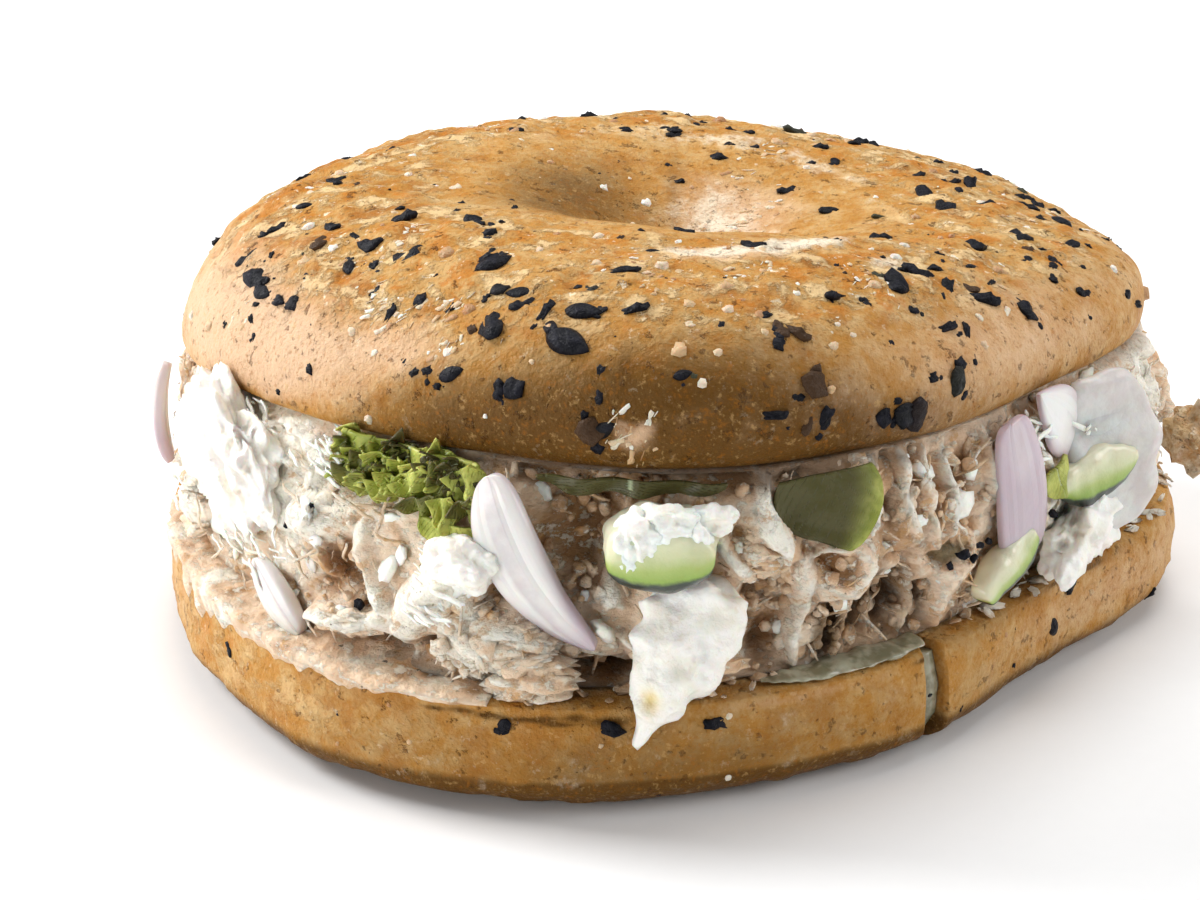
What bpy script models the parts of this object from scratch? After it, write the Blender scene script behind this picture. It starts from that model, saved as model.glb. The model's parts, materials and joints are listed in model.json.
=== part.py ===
"""A bagel sandwich: a seeded bagel cut in two round a fish salad with onion, cucumber and leaves.

Metres, +Z up. The origin is on the ground under the middle of the lower half. Angles are in
degrees, counter-clockwise from +X as seen from above, so 270 is the front and 180 the left.
"""

import math
import random

import bmesh
import bpy
from mathutils import Matrix, Vector, kdtree, noise

MM = 0.001
GAP = 0.35 * MM  # left between pieces that touch
COMPASS_STEP = 30  # degrees between the entries of a compass table


def compass(*millimetres):
    """A size that changes round the bagel: twelve values, starting at +X."""
    return tuple(value * MM for value in millimetres)


# Lower half
HEEL_REACH = compass(58, 57, 55, 54, 55.5, 57, 57.5, 59, 60, 54.5, 50, 48.5)
HEEL_MIDDLE_HEIGHT = 12.3 * MM  # of the cut face over the origin
HEEL_ROLL = math.radians(0.8)  # the left side is the thicker one
HEEL_FOOT = 0.87  # share of the reach that lies flat on the ground
HEEL_CORNER = 3.8 * MM  # height of the round corner over the foot
HEEL_SPOKES = 54

# Upper half, in its own frame: its cut face is z = 0 and its front is lifted by the tilt
CROWN_REACH = compass(53, 54, 52.5, 52, 53, 54.5, 55.5, 50.8, 49, 52, 48.5, 46.5)
CROWN_RIDGE = compass(12.5, 13.5, 15.5, 17.2, 18, 18, 17.2, 17.2, 17.5, 17.5, 16, 13.5)
CROWN_BULGE = compass(2.5, 2.5, 3, 3.5, 3, 1.5, 0.8, 1.2, 3, 4.5, 4, 3)  # widest line's height
CROWN_MIDDLE_HEIGHT = 31 * MM
CROWN_TILT = math.radians(6)
CROWN_ROLL = math.radians(0.8)  # the right side is the higher one
CROWN_SPOKES = 56
RIDGE_SHARE = 0.54  # of the reach, where the ring is highest
DIMPLE_FLOOR = 5.0 * MM  # the closed hole's bottom over the cut face

# Crust relief
LUMP_SIZE, LUMP_DEPTH = 21 * MM, 0.9 * MM
BLISTER_SIZE, BLISTER_DEPTH = 7 * MM, 0.35 * MM

# Split in the lower half's rim
SPLIT_ANGLE = 302.5
SPLIT_WIDTH, SPLIT_DEPTH = 3.2 * MM, 6.5 * MM

# Seeds baked on the crust
SEED_LENGTH = 3.2 * MM  # of a common one
SEED_WIDTH_SHARE, SEED_THICKNESS = 0.6, 1.2 * MM
CROWN_SEEDS, HEEL_SEEDS = 86, 12
SEED_SPACING = 4.6 * MM
SEED_CLEARANCE = 3.0 * MM  # between a seed's middle and another piece
# The large dark ones: angle, share of the crust's profile, heading, length
CROWN_LARGE_SEEDS = (
    (256, 0.29, -20, 5.2 * MM),
    (245, 0.31, -55, 4.4 * MM),
    (252, 0.36, 80, 3.4 * MM),
    (257, 0.37, 0, 4.0 * MM),
    (264, 0.38, 15, 3.4 * MM),
    (211, 0.47, 20, 4.2 * MM),
    (205, 0.56, 35, 4.6 * MM),
    (202, 0.43, -30, 3.4 * MM),
    (193, 0.34, 70, 3.2 * MM),
    (200, 0.31, -10, 4.8 * MM),
    (208, 0.35, 30, 3.6 * MM),
    (228, 0.57, -10, 4.4 * MM),
    (236, 0.49, 30, 3.6 * MM),
    (261, 0.50, 10, 4.0 * MM),
    (238, 0.21, 20, 3.4 * MM),
    (250, 0.18, 80, 3.4 * MM),
    (261, 0.10, 30, 3.4 * MM),
    (292, 0.40, 25, 4.6 * MM),
    (305, 0.42, 60, 4.4 * MM),
    (313, 0.45, -60, 3.8 * MM),
    (315, 0.39, 40, 3.4 * MM),
    (320, 0.33, -35, 5.0 * MM),
    (308, 0.29, 0, 3.6 * MM),
    (284, 0.31, -50, 3.6 * MM),
    (285, 0.19, 0, 3.8 * MM),
    (286, 0.10, 80, 4.0 * MM),
    (280, 0.12, 0, 3.2 * MM),
    (306, 0.15, 85, 4.2 * MM),
    (297, 0.09, 10, 4.6 * MM),
    (340, 0.50, -25, 4.8 * MM),
    (8, 0.40, 20, 4.4 * MM),
    (25, 0.50, -30, 4.0 * MM),
    (65, 0.52, 40, 4.0 * MM),
    (105, 0.52, 10, 3.6 * MM),
)
HEEL_LARGE_SEEDS = (
    (277, 0.78, 0, 4.0 * MM),
    (256, 0.70, 30, 3.0 * MM),
    (266, 0.72, -10, 3.2 * MM),
    (333, 0.88, 20, 3.0 * MM),
)

# Salad
SALAD_SPOKES, SALAD_TIERS = 76, 7
SALAD_BELLY = 2.2 * MM
CHUNK_SIZE, CHUNK_DEPTH = 9 * MM, 3.2 * MM  # of the lumps that its skin is made of
SALAD_KEPT_FACES = 0.5  # share left after the join, whose cuts make many slivers
FLAKE_COUNT = 18
FLAKE_LENGTH, FLAKE_WIDTH, FLAKE_THICKNESS = 12 * MM, 6.5 * MM, 5 * MM
# Hollows in the salad's side: angle, height share, reach along and up, depth
SALAD_HOLLOWS = (
    (262, 0.74, 8 * MM, 9 * MM, 6.0 * MM),
    (236, 0.05, 6 * MM, 3 * MM, 4.0 * MM),
    (258, 0.05, 9 * MM, 3 * MM, 4.5 * MM),
    (281, 0.30, 5 * MM, 5 * MM, 3.5 * MM),
    (296, 0.22, 5 * MM, 5 * MM, 3.5 * MM),
)
# Lumps of fish that stand out: angle, height share, length, height, depth, slope
SALAD_LUMPS = (
    (250, 0.20, 15 * MM, 9 * MM, 8 * MM, 12),
    (245, 0.42, 11 * MM, 8 * MM, 7 * MM, 40),
    (231, 0.16, 10 * MM, 5 * MM, 6 * MM, 8),
    (226, 0.62, 12 * MM, 9 * MM, 6 * MM, -25),
    (278, 0.68, 12 * MM, 8 * MM, 7 * MM, -10),
    (290, 0.52, 8 * MM, 11 * MM, 6 * MM, 80),
    (300, 0.62, 8 * MM, 12 * MM, 6 * MM, 75),
    (306, 0.40, 9 * MM, 7 * MM, 6 * MM, 20),
    (272, 0.18, 9 * MM, 5 * MM, 5 * MM, 0),
    (200, 0.28, 13 * MM, 8 * MM, 6 * MM, 15),
)


def around(table, angle):
    """A compass table's value at an angle, on a smooth closed curve through its entries."""
    turn = (angle % 360) / COMPASS_STEP
    index = int(turn)
    part = turn - index
    before, here, after, beyond = (table[(index + k) % len(table)] for k in (-1, 0, 1, 2))
    slope = after - before
    curve = 2 * before - 5 * here + 4 * after - beyond
    twist = 3 * (here - after) + beyond - before
    return here + 0.5 * part * (slope + part * (curve + part * twist))


def polar(angle, radius, height):
    turn = math.radians(angle)
    return Vector((radius * math.cos(turn), radius * math.sin(turn), height))


def angle_of(point):
    return math.degrees(math.atan2(point.y, point.x)) % 360


def relief(point, salt):
    """Soft lumps and small blisters of a baked crust, as a height."""
    place = Vector(point) + Vector((0, 0, salt))
    lumps = noise.noise(place / LUMP_SIZE) * LUMP_DEPTH
    return lumps + noise.noise(place / BLISTER_SIZE) * BLISTER_DEPTH


def heel_cut(x, _y):
    """Height of the lower half's cut face."""
    return HEEL_MIDDLE_HEIGHT - x * math.tan(HEEL_ROLL)


CROWN_PLACE = (
    Matrix.Translation((0, 0, CROWN_MIDDLE_HEIGHT))
    @ Matrix.Rotation(-CROWN_TILT, 4, "X")
    @ Matrix.Rotation(-CROWN_ROLL, 4, "Y")
)
CROWN_UP = CROWN_PLACE.to_3x3() @ Vector((0, 0, 1))


def crown_cut(x, y):
    """Height of the upper half's cut face."""
    return CROWN_MIDDLE_HEIGHT - (x * CROWN_UP.x + y * CROWN_UP.y) / CROWN_UP.z


def heel_side(angle, share):
    """Point on the lower half's crust, from the foot's edge (0) to the cut (1)."""
    turn = min(1, share / 0.45) * math.pi / 2
    out = HEEL_FOOT + (1 - HEEL_FOOT) * math.sin(turn)
    edge = polar(angle, around(HEEL_REACH, angle) * out, 0)
    edge.z = HEEL_CORNER * (1 - math.cos(turn))
    wall = max(0, share - 0.45) / 0.55
    edge.z += (heel_cut(edge.x, edge.y) - HEEL_CORNER - 0.3 * MM) * wall
    swell = relief(edge, 0) * math.sin(share * math.pi) ** 0.5
    return edge + polar(angle, swell - 0.8 * MM * wall**3, 0)


def crown_top(angle, share):
    """Point on the upper half's crust in its own frame, from the cut's edge (0) over the ridge
    (0.62) to the bottom of the dimple (1)."""
    reach = around(CROWN_REACH, angle)
    high = around(CROWN_RIDGE, angle)
    bulge = around(CROWN_BULGE, angle)
    ridge = RIDGE_SHARE * reach
    if share < 0.10:
        turn = share / 0.10 * math.pi / 2
        point = polar(angle, reach - 0.5 * bulge * (1 - math.sin(turn)), 0)
        point.z = bulge * (1 - math.cos(turn))
    elif share < 0.62:
        turn = (share - 0.10) / 0.52 * math.pi / 2
        point = polar(angle, ridge + (reach - ridge) * math.cos(turn) ** 0.95, 0)
        point.z = bulge + (high - bulge) * math.sin(turn) ** 0.95
    else:
        inward = (share - 0.62) / 0.38
        point = polar(angle, ridge * (1 - inward), 0)
        point.z = DIMPLE_FLOOR + (high - DIMPLE_FLOOR) * (1 - inward**2.1) ** 0.85
    fade = min(1, share / 0.06) * min(1, (1 - share) / 0.12)
    return point + Vector((0, 0, 1)) * relief(point, 1) * fade


def salad_side(angle, share):
    """Point on the salad's plain side, from the lower cut (0) to the upper one (1)."""
    low = around(HEEL_REACH, angle) * 0.93
    high = around(CROWN_REACH, angle) * 0.97
    belly = SALAD_BELLY * 4 * share * (1 - share)
    point = polar(angle, low + (high - low) * share + belly, 0)
    floor = heel_cut(point.x, point.y) + GAP
    ceiling = crown_cut(point.x, point.y) - GAP
    point.z = floor + (ceiling - floor) * share
    return point


def side_frame(angle, share, out=0.0, slope=0.0, lean=0.0):
    """Frame on the salad's side: X points out, Y runs along it to the right as seen from
    outside, Z is up. slope turns it in the side's plane and lean tips its top outwards."""
    turn = Matrix.Rotation(math.radians(angle), 4, "Z")
    place = Matrix.Translation(salad_side(angle, share) + polar(angle, out, 0))
    tip = Matrix.Rotation(math.radians(lean), 4, "Y")
    return place @ turn @ Matrix.Rotation(math.radians(slope), 4, "X") @ tip


def material(name, colour, roughness):
    made = bpy.data.materials.new(name)
    made.use_nodes = True
    shader = made.node_tree.nodes["Principled BSDF"]
    shader.inputs["Base Color"].default_value = (*colour, 1)
    shader.inputs["Roughness"].default_value = roughness
    shader.inputs["Metallic"].default_value = 0
    return made


def add_object(name, mesh, finish, collection=None):
    made = bpy.data.objects.new(name, mesh)
    mesh.materials.append(finish)
    mesh.shade_smooth()
    mesh.set_sharp_from_angle(angle=math.radians(50))
    (collection or bpy.context.scene.collection).objects.link(made)
    return made


def closed_mesh(name, points, faces):
    mesh = bpy.data.meshes.new(name)
    mesh.from_pydata(points, [], faces)
    made = bmesh.new()
    made.from_mesh(mesh)
    bmesh.ops.triangulate(made, faces=made.faces)
    bmesh.ops.recalc_face_normals(made, faces=made.faces)
    made.to_mesh(mesh)
    made.free()
    return mesh


def turned_mesh(name, first, rings, last):
    """Closed skin over rings of equal length, with a pole at each end."""
    count = len(rings[0])
    points = [first] + [point for ring in rings for point in ring] + [last]
    top = len(points) - 1
    base = top - count
    faces = []
    for i in range(count):
        j = (i + 1) % count
        faces.append((0, 1 + j, 1 + i))
        faces.append((base + i, base + j, top))
        for k in range(len(rings) - 1):
            low, high = 1 + k * count, 1 + (k + 1) * count
            faces.append((low + i, low + j, high + j, high + i))
    return closed_mesh(name, points, faces)


def applied(obj):
    """Replaces the object's mesh with what its modifiers make of it, and drops them."""
    graph = bpy.context.evaluated_depsgraph_get()
    graph.update()
    mesh = bpy.data.meshes.new_from_object(obj.evaluated_get(graph))
    obj.modifiers.clear()
    obj.data = mesh


def keep_largest_shell(obj):
    """Fills the hollows a join has sealed and drops the scraps a cut has left loose."""
    shape = bmesh.new()
    shape.from_mesh(obj.data)
    bmesh.ops.triangulate(shape, faces=shape.faces)
    shells = []
    unseen = set(shape.faces)
    while unseen:
        shell, waiting = [], [unseen.pop()]
        while waiting:
            face = waiting.pop()
            shell.append(face)
            for edge in face.edges:
                if len(edge.link_faces) == 2:
                    near = unseen.intersection(edge.link_faces)
                    unseen -= near
                    waiting += near
        shells.append(shell)
    shells.sort(key=lambda shell: sum(face.calc_area() for face in shell))
    for shell in shells[:-1]:
        bmesh.ops.delete(shape, geom=shell, context="FACES")
    shape.to_mesh(obj.data)
    shape.free()


def boolean(obj, others, operation):
    """Joins or cuts obj with all the others in one step, and removes them."""
    group = bpy.data.collections.new("operands")
    bpy.context.scene.collection.children.link(group)
    for other in others:
        for holder in other.users_collection:
            holder.objects.unlink(other)
        group.objects.link(other)
    step = obj.modifiers.new("step", "BOOLEAN")
    step.operation = operation
    step.operand_type = "COLLECTION"
    step.collection = group
    step.solver = "MANIFOLD"
    applied(obj)
    keep_largest_shell(obj)
    obj.data.set_sharp_from_angle(angle=math.radians(38))
    for other in others:
        bpy.data.objects.remove(other)
    bpy.data.collections.remove(group)


def fuller(mesh, finish):
    """An object of that shape whose skin stands out by the gap, for cutting clearance."""
    shape = bmesh.new()
    shape.from_mesh(mesh)
    shape.normal_update()
    moves = [(vertex, min(2.2, vertex.calc_shell_factor()) * GAP) for vertex in shape.verts]
    for vertex, distance in moves:
        vertex.co += vertex.normal * distance
    larger = bpy.data.meshes.new("room")
    shape.to_mesh(larger)
    shape.free()
    return add_object("room", larger, finish)


def superellipse(count, half_width, half_height, power):
    points = []
    for k in range(count):
        turn = 2 * math.pi * (k + 0.5) / count
        x, y = math.cos(turn), math.sin(turn)
        points.append(
            (
                half_width * math.copysign(abs(x) ** power, x),
                half_height * math.copysign(abs(y) ** power, y),
            )
        )
    return points


def strip_mesh(name, place, length, width, thickness, bend=0, blunt=0.5, taper=0, sweep=0):
    """A slice or strip along local Y, width in Z and thickness in X. bend is the angle it
    curves through towards -X, sweep how far its middle lies below the ends, blunt is 1 for a
    leaf-shaped outline, less for square ends, and taper narrows it towards +Y."""
    sides, steps = 8, 8
    rings = []
    arc = math.radians(bend)
    ends = []
    for k in range(steps + 1):
        share = k / steps
        along = share - 0.5
        if abs(arc) > 0.01:
            radius = length / arc
            centre = Vector(
                (radius * (math.cos(along * arc) - 1), radius * math.sin(along * arc), 0)
            )
        else:
            centre = Vector((0, along * length, 0))
        frame = Matrix.Translation(centre) @ Matrix.Rotation(along * arc, 4, "Z")
        if k in (0, steps):
            ends.append(place @ centre)
            continue
        full = math.sin(math.pi * share) ** blunt * (1 - taper * along)
        section = superellipse(sides, thickness / 2 * (0.55 + 0.45 * full), width / 2 * full, 0.6)
        sag = sweep * (4 * along * along - 1)
        rings.append([place @ frame @ Vector((x, 0, z + sag)) for x, z in section])
    return turned_mesh(name, ends[0], rings, ends[1])


def lump_mesh(name, place, half, sides=8, tiers=5, rough=0.18, salt=0.0):
    """A rounded lump with uneven sides. half is its half size out, along and up."""
    rings = []
    for k in range(1, tiers):
        turn = math.pi * k / tiers
        ring = []
        for i in range(sides):
            spin = 2 * math.pi * (i + 0.5 * (k % 2)) / sides
            point = Vector(
                (
                    math.sin(turn) * math.cos(spin),
                    -math.cos(turn),
                    math.sin(turn) * math.sin(spin),
                )
            )
            point *= 1 + rough * noise.noise(point * 1.7 + Vector((salt, salt, salt)))
            ring.append(place @ Vector([a * b for a, b in zip(point, half)]))
        rings.append(ring)
    return turned_mesh(name, place @ Vector((0, -half[1], 0)), rings, place @ Vector((0, half[1], 0)))


def leaf_mesh(name, place, width, height, thickness, wave, frills, cells=(14, 5), tip=0.55):
    """A thin wavy leaf in the local YZ plane, hanging down from its top edge. tip is how much
    narrower it is at its bottom."""
    columns, rows = cells
    faces = []

    def middle(u, v):
        aside = (u - 0.5) * width * (1 - tip * v**2.5)
        turn = frills * 2 * math.pi * aside / width
        ripple = wave * math.sin(turn + 1.3 * v) * (0.35 + 0.65 * v)
        return Vector((ripple, aside, -height * v * (1 + 0.12 * math.sin(turn))))

    front, back = [], []
    for r in range(rows + 1):
        for c in range(columns + 1):
            point = middle(c / columns, r / rows)
            front.append(place @ (point + Vector((thickness / 2, 0, 0))))
            back.append(place @ (point - Vector((thickness / 2, 0, 0))))
    size = columns + 1
    shift = len(front)
    for r in range(rows):
        for c in range(columns):
            a, b = r * size + c, r * size + c + 1
            d, e = a + size, b + size
            faces += [(a, b, e), (a, e, d)]
            faces += [(shift + a, shift + e, shift + b), (shift + a, shift + d, shift + e)]
    rim = [c for c in range(size)]
    rim += [r * size + columns for r in range(1, rows + 1)]
    rim += [rows * size + c for c in range(columns - 1, -1, -1)]
    rim += [r * size for r in range(rows - 1, 0, -1)]
    for a, b in zip(rim, rim[1:] + rim[:1]):
        faces.append((a, shift + a, shift + b, b))
    return closed_mesh(name, front + back, faces)


def seed_mesh(place, length):
    """A seed: a flat drop, pointed at one end."""
    ring = []
    for k in range(6):
        turn = math.pi * k / 3
        y = SEED_WIDTH_SHARE * length / 2 * math.cos(turn)
        z = SEED_THICKNESS / 2 * math.sin(turn)
        ring.append(place @ Vector((0.1 * length * math.cos(2 * turn), y, z)))
    tail = place @ Vector((-length / 2, 0, 0))
    nose = place @ Vector((length / 2, 0, 0))
    return turned_mesh("seed", tail, [ring], nose)


def crust_frame(surface, angle, share, heading):
    """Frame on a crust with Z along its outward normal."""
    point = surface(angle, share)
    along = (surface(angle + 0.5, share) - point).normalized()
    inward = (surface(angle, min(0.999, share + 0.01)) - point).normalized()
    normal = along.cross(inward).normalized()
    turn = Matrix.Rotation(math.radians(heading), 3, "Z")
    axes = Matrix((along, normal.cross(along), normal)).transposed() @ turn
    return Matrix.Translation(point) @ axes.to_4x4()


def seed_places(draw, count, surface, lowest, highest, large):
    """The large seeds' frames and lengths, then scattered ones between them."""
    found = [(crust_frame(surface, *spot[:3]), spot[3]) for spot in large]
    while len(found) < count:
        share = lowest + (highest - lowest) * draw.random()
        angle = 360 * draw.random()
        heading = 360 * draw.random()
        point = surface(angle, share)
        if math.hypot(point.x, point.y) < draw.random() * around(CROWN_REACH, angle):
            continue
        if all((point - other.translation).length > SEED_SPACING for other, _ in found):
            length = SEED_LENGTH * (0.65 + 0.45 * draw.random())
            found.append((crust_frame(surface, angle, share, heading), length))
    return found


def build_heel(crust):
    spokes = [360 * k / HEEL_SPOKES for k in range(HEEL_SPOKES)]
    rings = [[polar(a, around(HEEL_REACH, a) * 0.5, 0) for a in spokes]]
    for step in range(7):
        rings.append([heel_side(a, step / 6) for a in spokes])
    for share in (0.93, 0.5):
        ring = []
        for a in spokes:
            point = polar(a, around(HEEL_REACH, a) * share, 0)
            point.z = heel_cut(point.x, point.y)
            ring.append(point)
        rings.append(ring)
    mesh = turned_mesh("bagel_heel", Vector(), rings, Vector((0, 0, HEEL_MIDDLE_HEIGHT)))
    heel = add_object("bagel_heel", mesh, crust)

    reach = around(HEEL_REACH, SPLIT_ANGLE)
    half, deep, tall = SPLIT_WIDTH / 2, SPLIT_DEPTH, 40 * MM
    outline = [(reach - deep, 0), (reach + deep, 2 * half), (reach + deep, -2 * half)]
    turn = Matrix.Rotation(math.radians(SPLIT_ANGLE), 4, "Z")
    points = [turn @ Vector((x, y, z)) for z in (-tall, tall) for x, y in outline]
    faces = [(0, 1, 2), (3, 5, 4), (0, 3, 4, 1), (1, 4, 5, 2), (2, 5, 3, 0)]
    boolean(heel, [add_object("blade", closed_mesh("blade", points, faces), crust)], "DIFFERENCE")
    return heel


def build_crown(crust):
    spokes = [360 * k / CROWN_SPOKES for k in range(CROWN_SPOKES)]
    rings = [[polar(a, around(CROWN_REACH, a) * s, 0) for a in spokes] for s in (0.5, 0.9)]
    for share in (0, 0.06, 0.13, 0.23, 0.34, 0.44, 0.53, 0.62, 0.71, 0.80, 0.90):
        rings.append([crown_top(a, share) for a in spokes])
    mesh = turned_mesh("bagel_crown", Vector(), rings, Vector((0, 0, DIMPLE_FLOOR)))
    mesh.transform(CROWN_PLACE)
    return add_object("bagel_crown", mesh, crust)


def add_seeds(bread, places, others, finish):
    """Joins the seeds to the bread, but for those that would run into another piece."""
    count = sum(len(other.data.vertices) for other in others)
    near = kdtree.KDTree(count)
    points = (vertex.co for other in others for vertex in other.data.vertices)
    for number, point in enumerate(points):
        near.insert(point, number)
    near.balance()
    free = [spot for spot in places if near.find(spot[0].translation)[2] > SEED_CLEARANCE]
    boolean(bread, [add_object("seed", seed_mesh(*spot), finish) for spot in free], "UNION")


def held_between_cuts(point):
    """The point, moved up or down to stay clear of both cut faces."""
    low = heel_cut(point.x, point.y) + GAP
    high = crown_cut(point.x, point.y) - GAP
    point.z = min(max(point.z, low), high)
    return point


def salad_hollow(angle, share):
    """How deep the salad's side lies behind its plain form."""
    deepest = 0.0
    here = salad_side(angle, share)
    for middle, level, along, up, deep in SALAD_HOLLOWS:
        there = salad_side(middle, level)
        aside = math.hypot(here.x - there.x, here.y - there.y) / along
        above = (here.z - there.z) / up
        deepest = max(deepest, deep * math.exp(-(aside**2 + above**2)))
    return deepest


def build_salad(finish):
    spokes = [360 * k / SALAD_SPOKES for k in range(SALAD_SPOKES)]
    rings = []
    for inner in (0.45, 0.85):
        ring = [salad_side(a, 0) for a in spokes]
        rings.append([Vector((p.x * inner, p.y * inner, 0)) for p in ring])
    for tier in range(SALAD_TIERS + 1):
        share = tier / SALAD_TIERS
        ring = []
        for a in spokes:
            point = salad_side(a, share)
            nearest = noise.voronoi(point / CHUNK_SIZE)[0][0]
            rough = CHUNK_DEPTH * (0.35 - nearest**2) - 0.4 * MM
            ring.append(point + polar(a, rough - salad_hollow(a, share), 0))
        rings.append(ring)
    for inner in (0.85, 0.45):
        ring = [salad_side(a, 1) for a in spokes]
        rings.append([Vector((p.x * inner, p.y * inner, 1)) for p in ring])
    rings = [[held_between_cuts(point) for point in ring] for ring in rings]
    bottom = held_between_cuts(Vector())
    top = held_between_cuts(Vector((0, 0, 1)))
    salad = add_object("tuna_salad", turned_mesh("tuna_salad", bottom, rings, top), finish)

    flakes = []
    for number, (angle, share, length, height, depth, slope) in enumerate(SALAD_LUMPS):
        place = side_frame(angle, share, -0.2 * depth, slope)
        half = (depth / 2, length / 2, height / 2)
        flakes.append(lump_mesh("lump", place, half, 8, 5, 0.45, number))
    draw = random.Random(11)
    for number in range(FLAKE_COUNT):
        angle = 360 * (number + 0.6 * draw.random()) / FLAKE_COUNT
        share = 0.08 + 0.84 * ((number * 0.618) % 1)
        size = 0.6 + 0.6 * draw.random()
        slope = draw.gauss(0, 35)
        out = -0.9 * MM - salad_hollow(angle, share) + 1.2 * MM * draw.random()
        place = side_frame(angle, share, out, slope, draw.uniform(-20, 20))
        half = (FLAKE_THICKNESS * size / 2, FLAKE_LENGTH * size / 2, FLAKE_WIDTH * size / 2)
        flakes.append(lump_mesh("flake", place, half, 6, 4, 0.5, number))
    for mesh in flakes:
        for vertex in mesh.vertices:
            vertex.co = held_between_cuts(vertex.co.copy())
    boolean(salad, [add_object(m.name, m, finish) for m in flakes], "UNION")
    fewer = salad.modifiers.new("fewer", "DECIMATE")
    fewer.ratio = SALAD_KEPT_FACES
    applied(salad)
    return salad


def build_toppings(looks):
    """Every piece tucked in the salad's side, by name."""
    onion, leaf, cucumber, cream = (looks[k] for k in ("onion", "leaf", "cucumber", "cream"))
    pieces = []

    def strip(name, finish, place, *sizes, **options):
        sizes = [size * MM for size in sizes]
        pieces.append(add_object(name, strip_mesh(name, place, *sizes, **options), finish))

    def lump(name, finish, place, *half, **options):
        half = [size * MM for size in half]
        pieces.append(add_object(name, lump_mesh(name, place, half, **options), finish))

    def frond(name, place, width, height, thickness, wave, frills, **options):
        mesh = leaf_mesh(
            name, place, width * MM, height * MM, thickness * MM, wave * MM, frills, **options
        )
        pieces.append(add_object(name, mesh, leaf))

    place = side_frame(254.5, 0.61, 1.6 * MM, -58)
    strip("onion_front", onion, place, 21, 6.2, 2.2, bend=30, blunt=0.4, taper=0.7, sweep=1.8 * MM)
    strip("onion_left", onion, side_frame(222, 0.15, 1.2 * MM, -40), 9.5, 4.6, 2.2, bend=25)
    place = side_frame(318, 0.64, 0.9 * MM, -84)
    strip("onion_right", onion, place, 16, 4.8, 1.8, bend=20, blunt=0.3, taper=-0.3)
    strip("onion_far_right", onion, side_frame(331, 0.84, 1.2 * MM, -38), 12, 5.4, 1.6, bend=35)
    strip("onion_left_edge", onion, side_frame(184, 0.55, 2.6 * MM, -82), 12, 4.4, 1.8, bend=45)
    place = side_frame(350, 0.55, 2.6 * MM, -28, -20)
    strip("onion_sheet_right", onion, place, 15, 8.5, 1.4, bend=30, blunt=0.35)
    strip("onion_back", onion, side_frame(78, 0.50, 1.0 * MM, 35), 15, 5.0, 2.0, bend=35)
    strip("onion_back_left", onion, side_frame(138, 0.45, 0.8 * MM, -30), 13, 4.6, 2.0, bend=30)

    frond("lettuce_left", side_frame(235, 0.95, 1.6 * MM), 17, 9.5, 0.8, 1.3, 2, cells=(14, 4))
    frond("lettuce_bit", side_frame(243.5, 0.74, 2.0 * MM), 6.5, 4.2, 0.8, 0.6, 1, cells=(8, 3))
    frond("lettuce_front", side_frame(264, 0.985, 0.6 * MM), 19, 2.0, 0.8, 0.6, 3, cells=(12, 2))
    place = side_frame(286, 0.985, 1.8 * MM, 6, -8)
    frond("leaf_front", place, 10.5, 8.6, 0.9, 0.5, 1, cells=(8, 5), tip=0.6)
    frond("leaf_right", side_frame(326, 0.64, 1.4 * MM, 20), 4.8, 4.0, 0.8, 0.5, 1, cells=(6, 3))
    frond("lettuce_back", side_frame(103, 0.94, 1.2 * MM), 17, 6.0, 0.8, 1.2, 2, cells=(14, 4))

    strip("cucumber_strip", cucumber, side_frame(315.5, 0.26, 1.5 * MM, 34), 9.5, 4.6, 3, blunt=0.25)
    strip("cucumber_slice", cucumber, side_frame(338, 0.56, 1.4 * MM, 10), 9.5, 7.5, 2.4)
    strip("cucumber_chunk", cucumber, side_frame(267.5, 0.66, 1.2 * MM, 4), 11.5, 8.2, 8, blunt=0.3)
    strip("cucumber_back", cucumber, side_frame(52, 0.30, 0.9 * MM, -15), 12, 4.6, 3.2, blunt=0.3)

    lump("cream_left", cream, side_frame(205, 0.64, -0.4 * MM), 3.4, 11, 8, sides=10, tiers=7)
    lump("cream_lump", cream, side_frame(246.5, 0.60, 2.8 * MM), 2.8, 3.6, 2.8, tiers=6)
    lump("cream_right", cream, side_frame(338, 0.20, 0.3 * MM), 3.2, 11, 4.6, sides=10, tiers=7)
    lump("cream_back", cream, side_frame(22, 0.55, 0), 2.8, 9, 4.4, sides=10, tiers=7)
    pieces.append(build_drip(cream))
    pieces.append(build_dressing(cream))
    place = Matrix.Translation(polar(354, 59.6 * MM, 21 * MM))
    lump("crust_crumb", looks["crust"], place, 3.4, 2.8, 3.6, rough=0.5)
    return pieces


def box_of(mesh):
    """Lowest and highest corner of a mesh."""
    columns = list(zip(*(vertex.co for vertex in mesh.vertices)))
    return [min(column) for column in columns], [max(column) for column in columns]


def boxes_meet(one, other):
    (low, high), (start, end) = box_of(one), box_of(other)
    return all(start[k] < high[k] + GAP and end[k] > low[k] - GAP for k in range(3))


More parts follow.
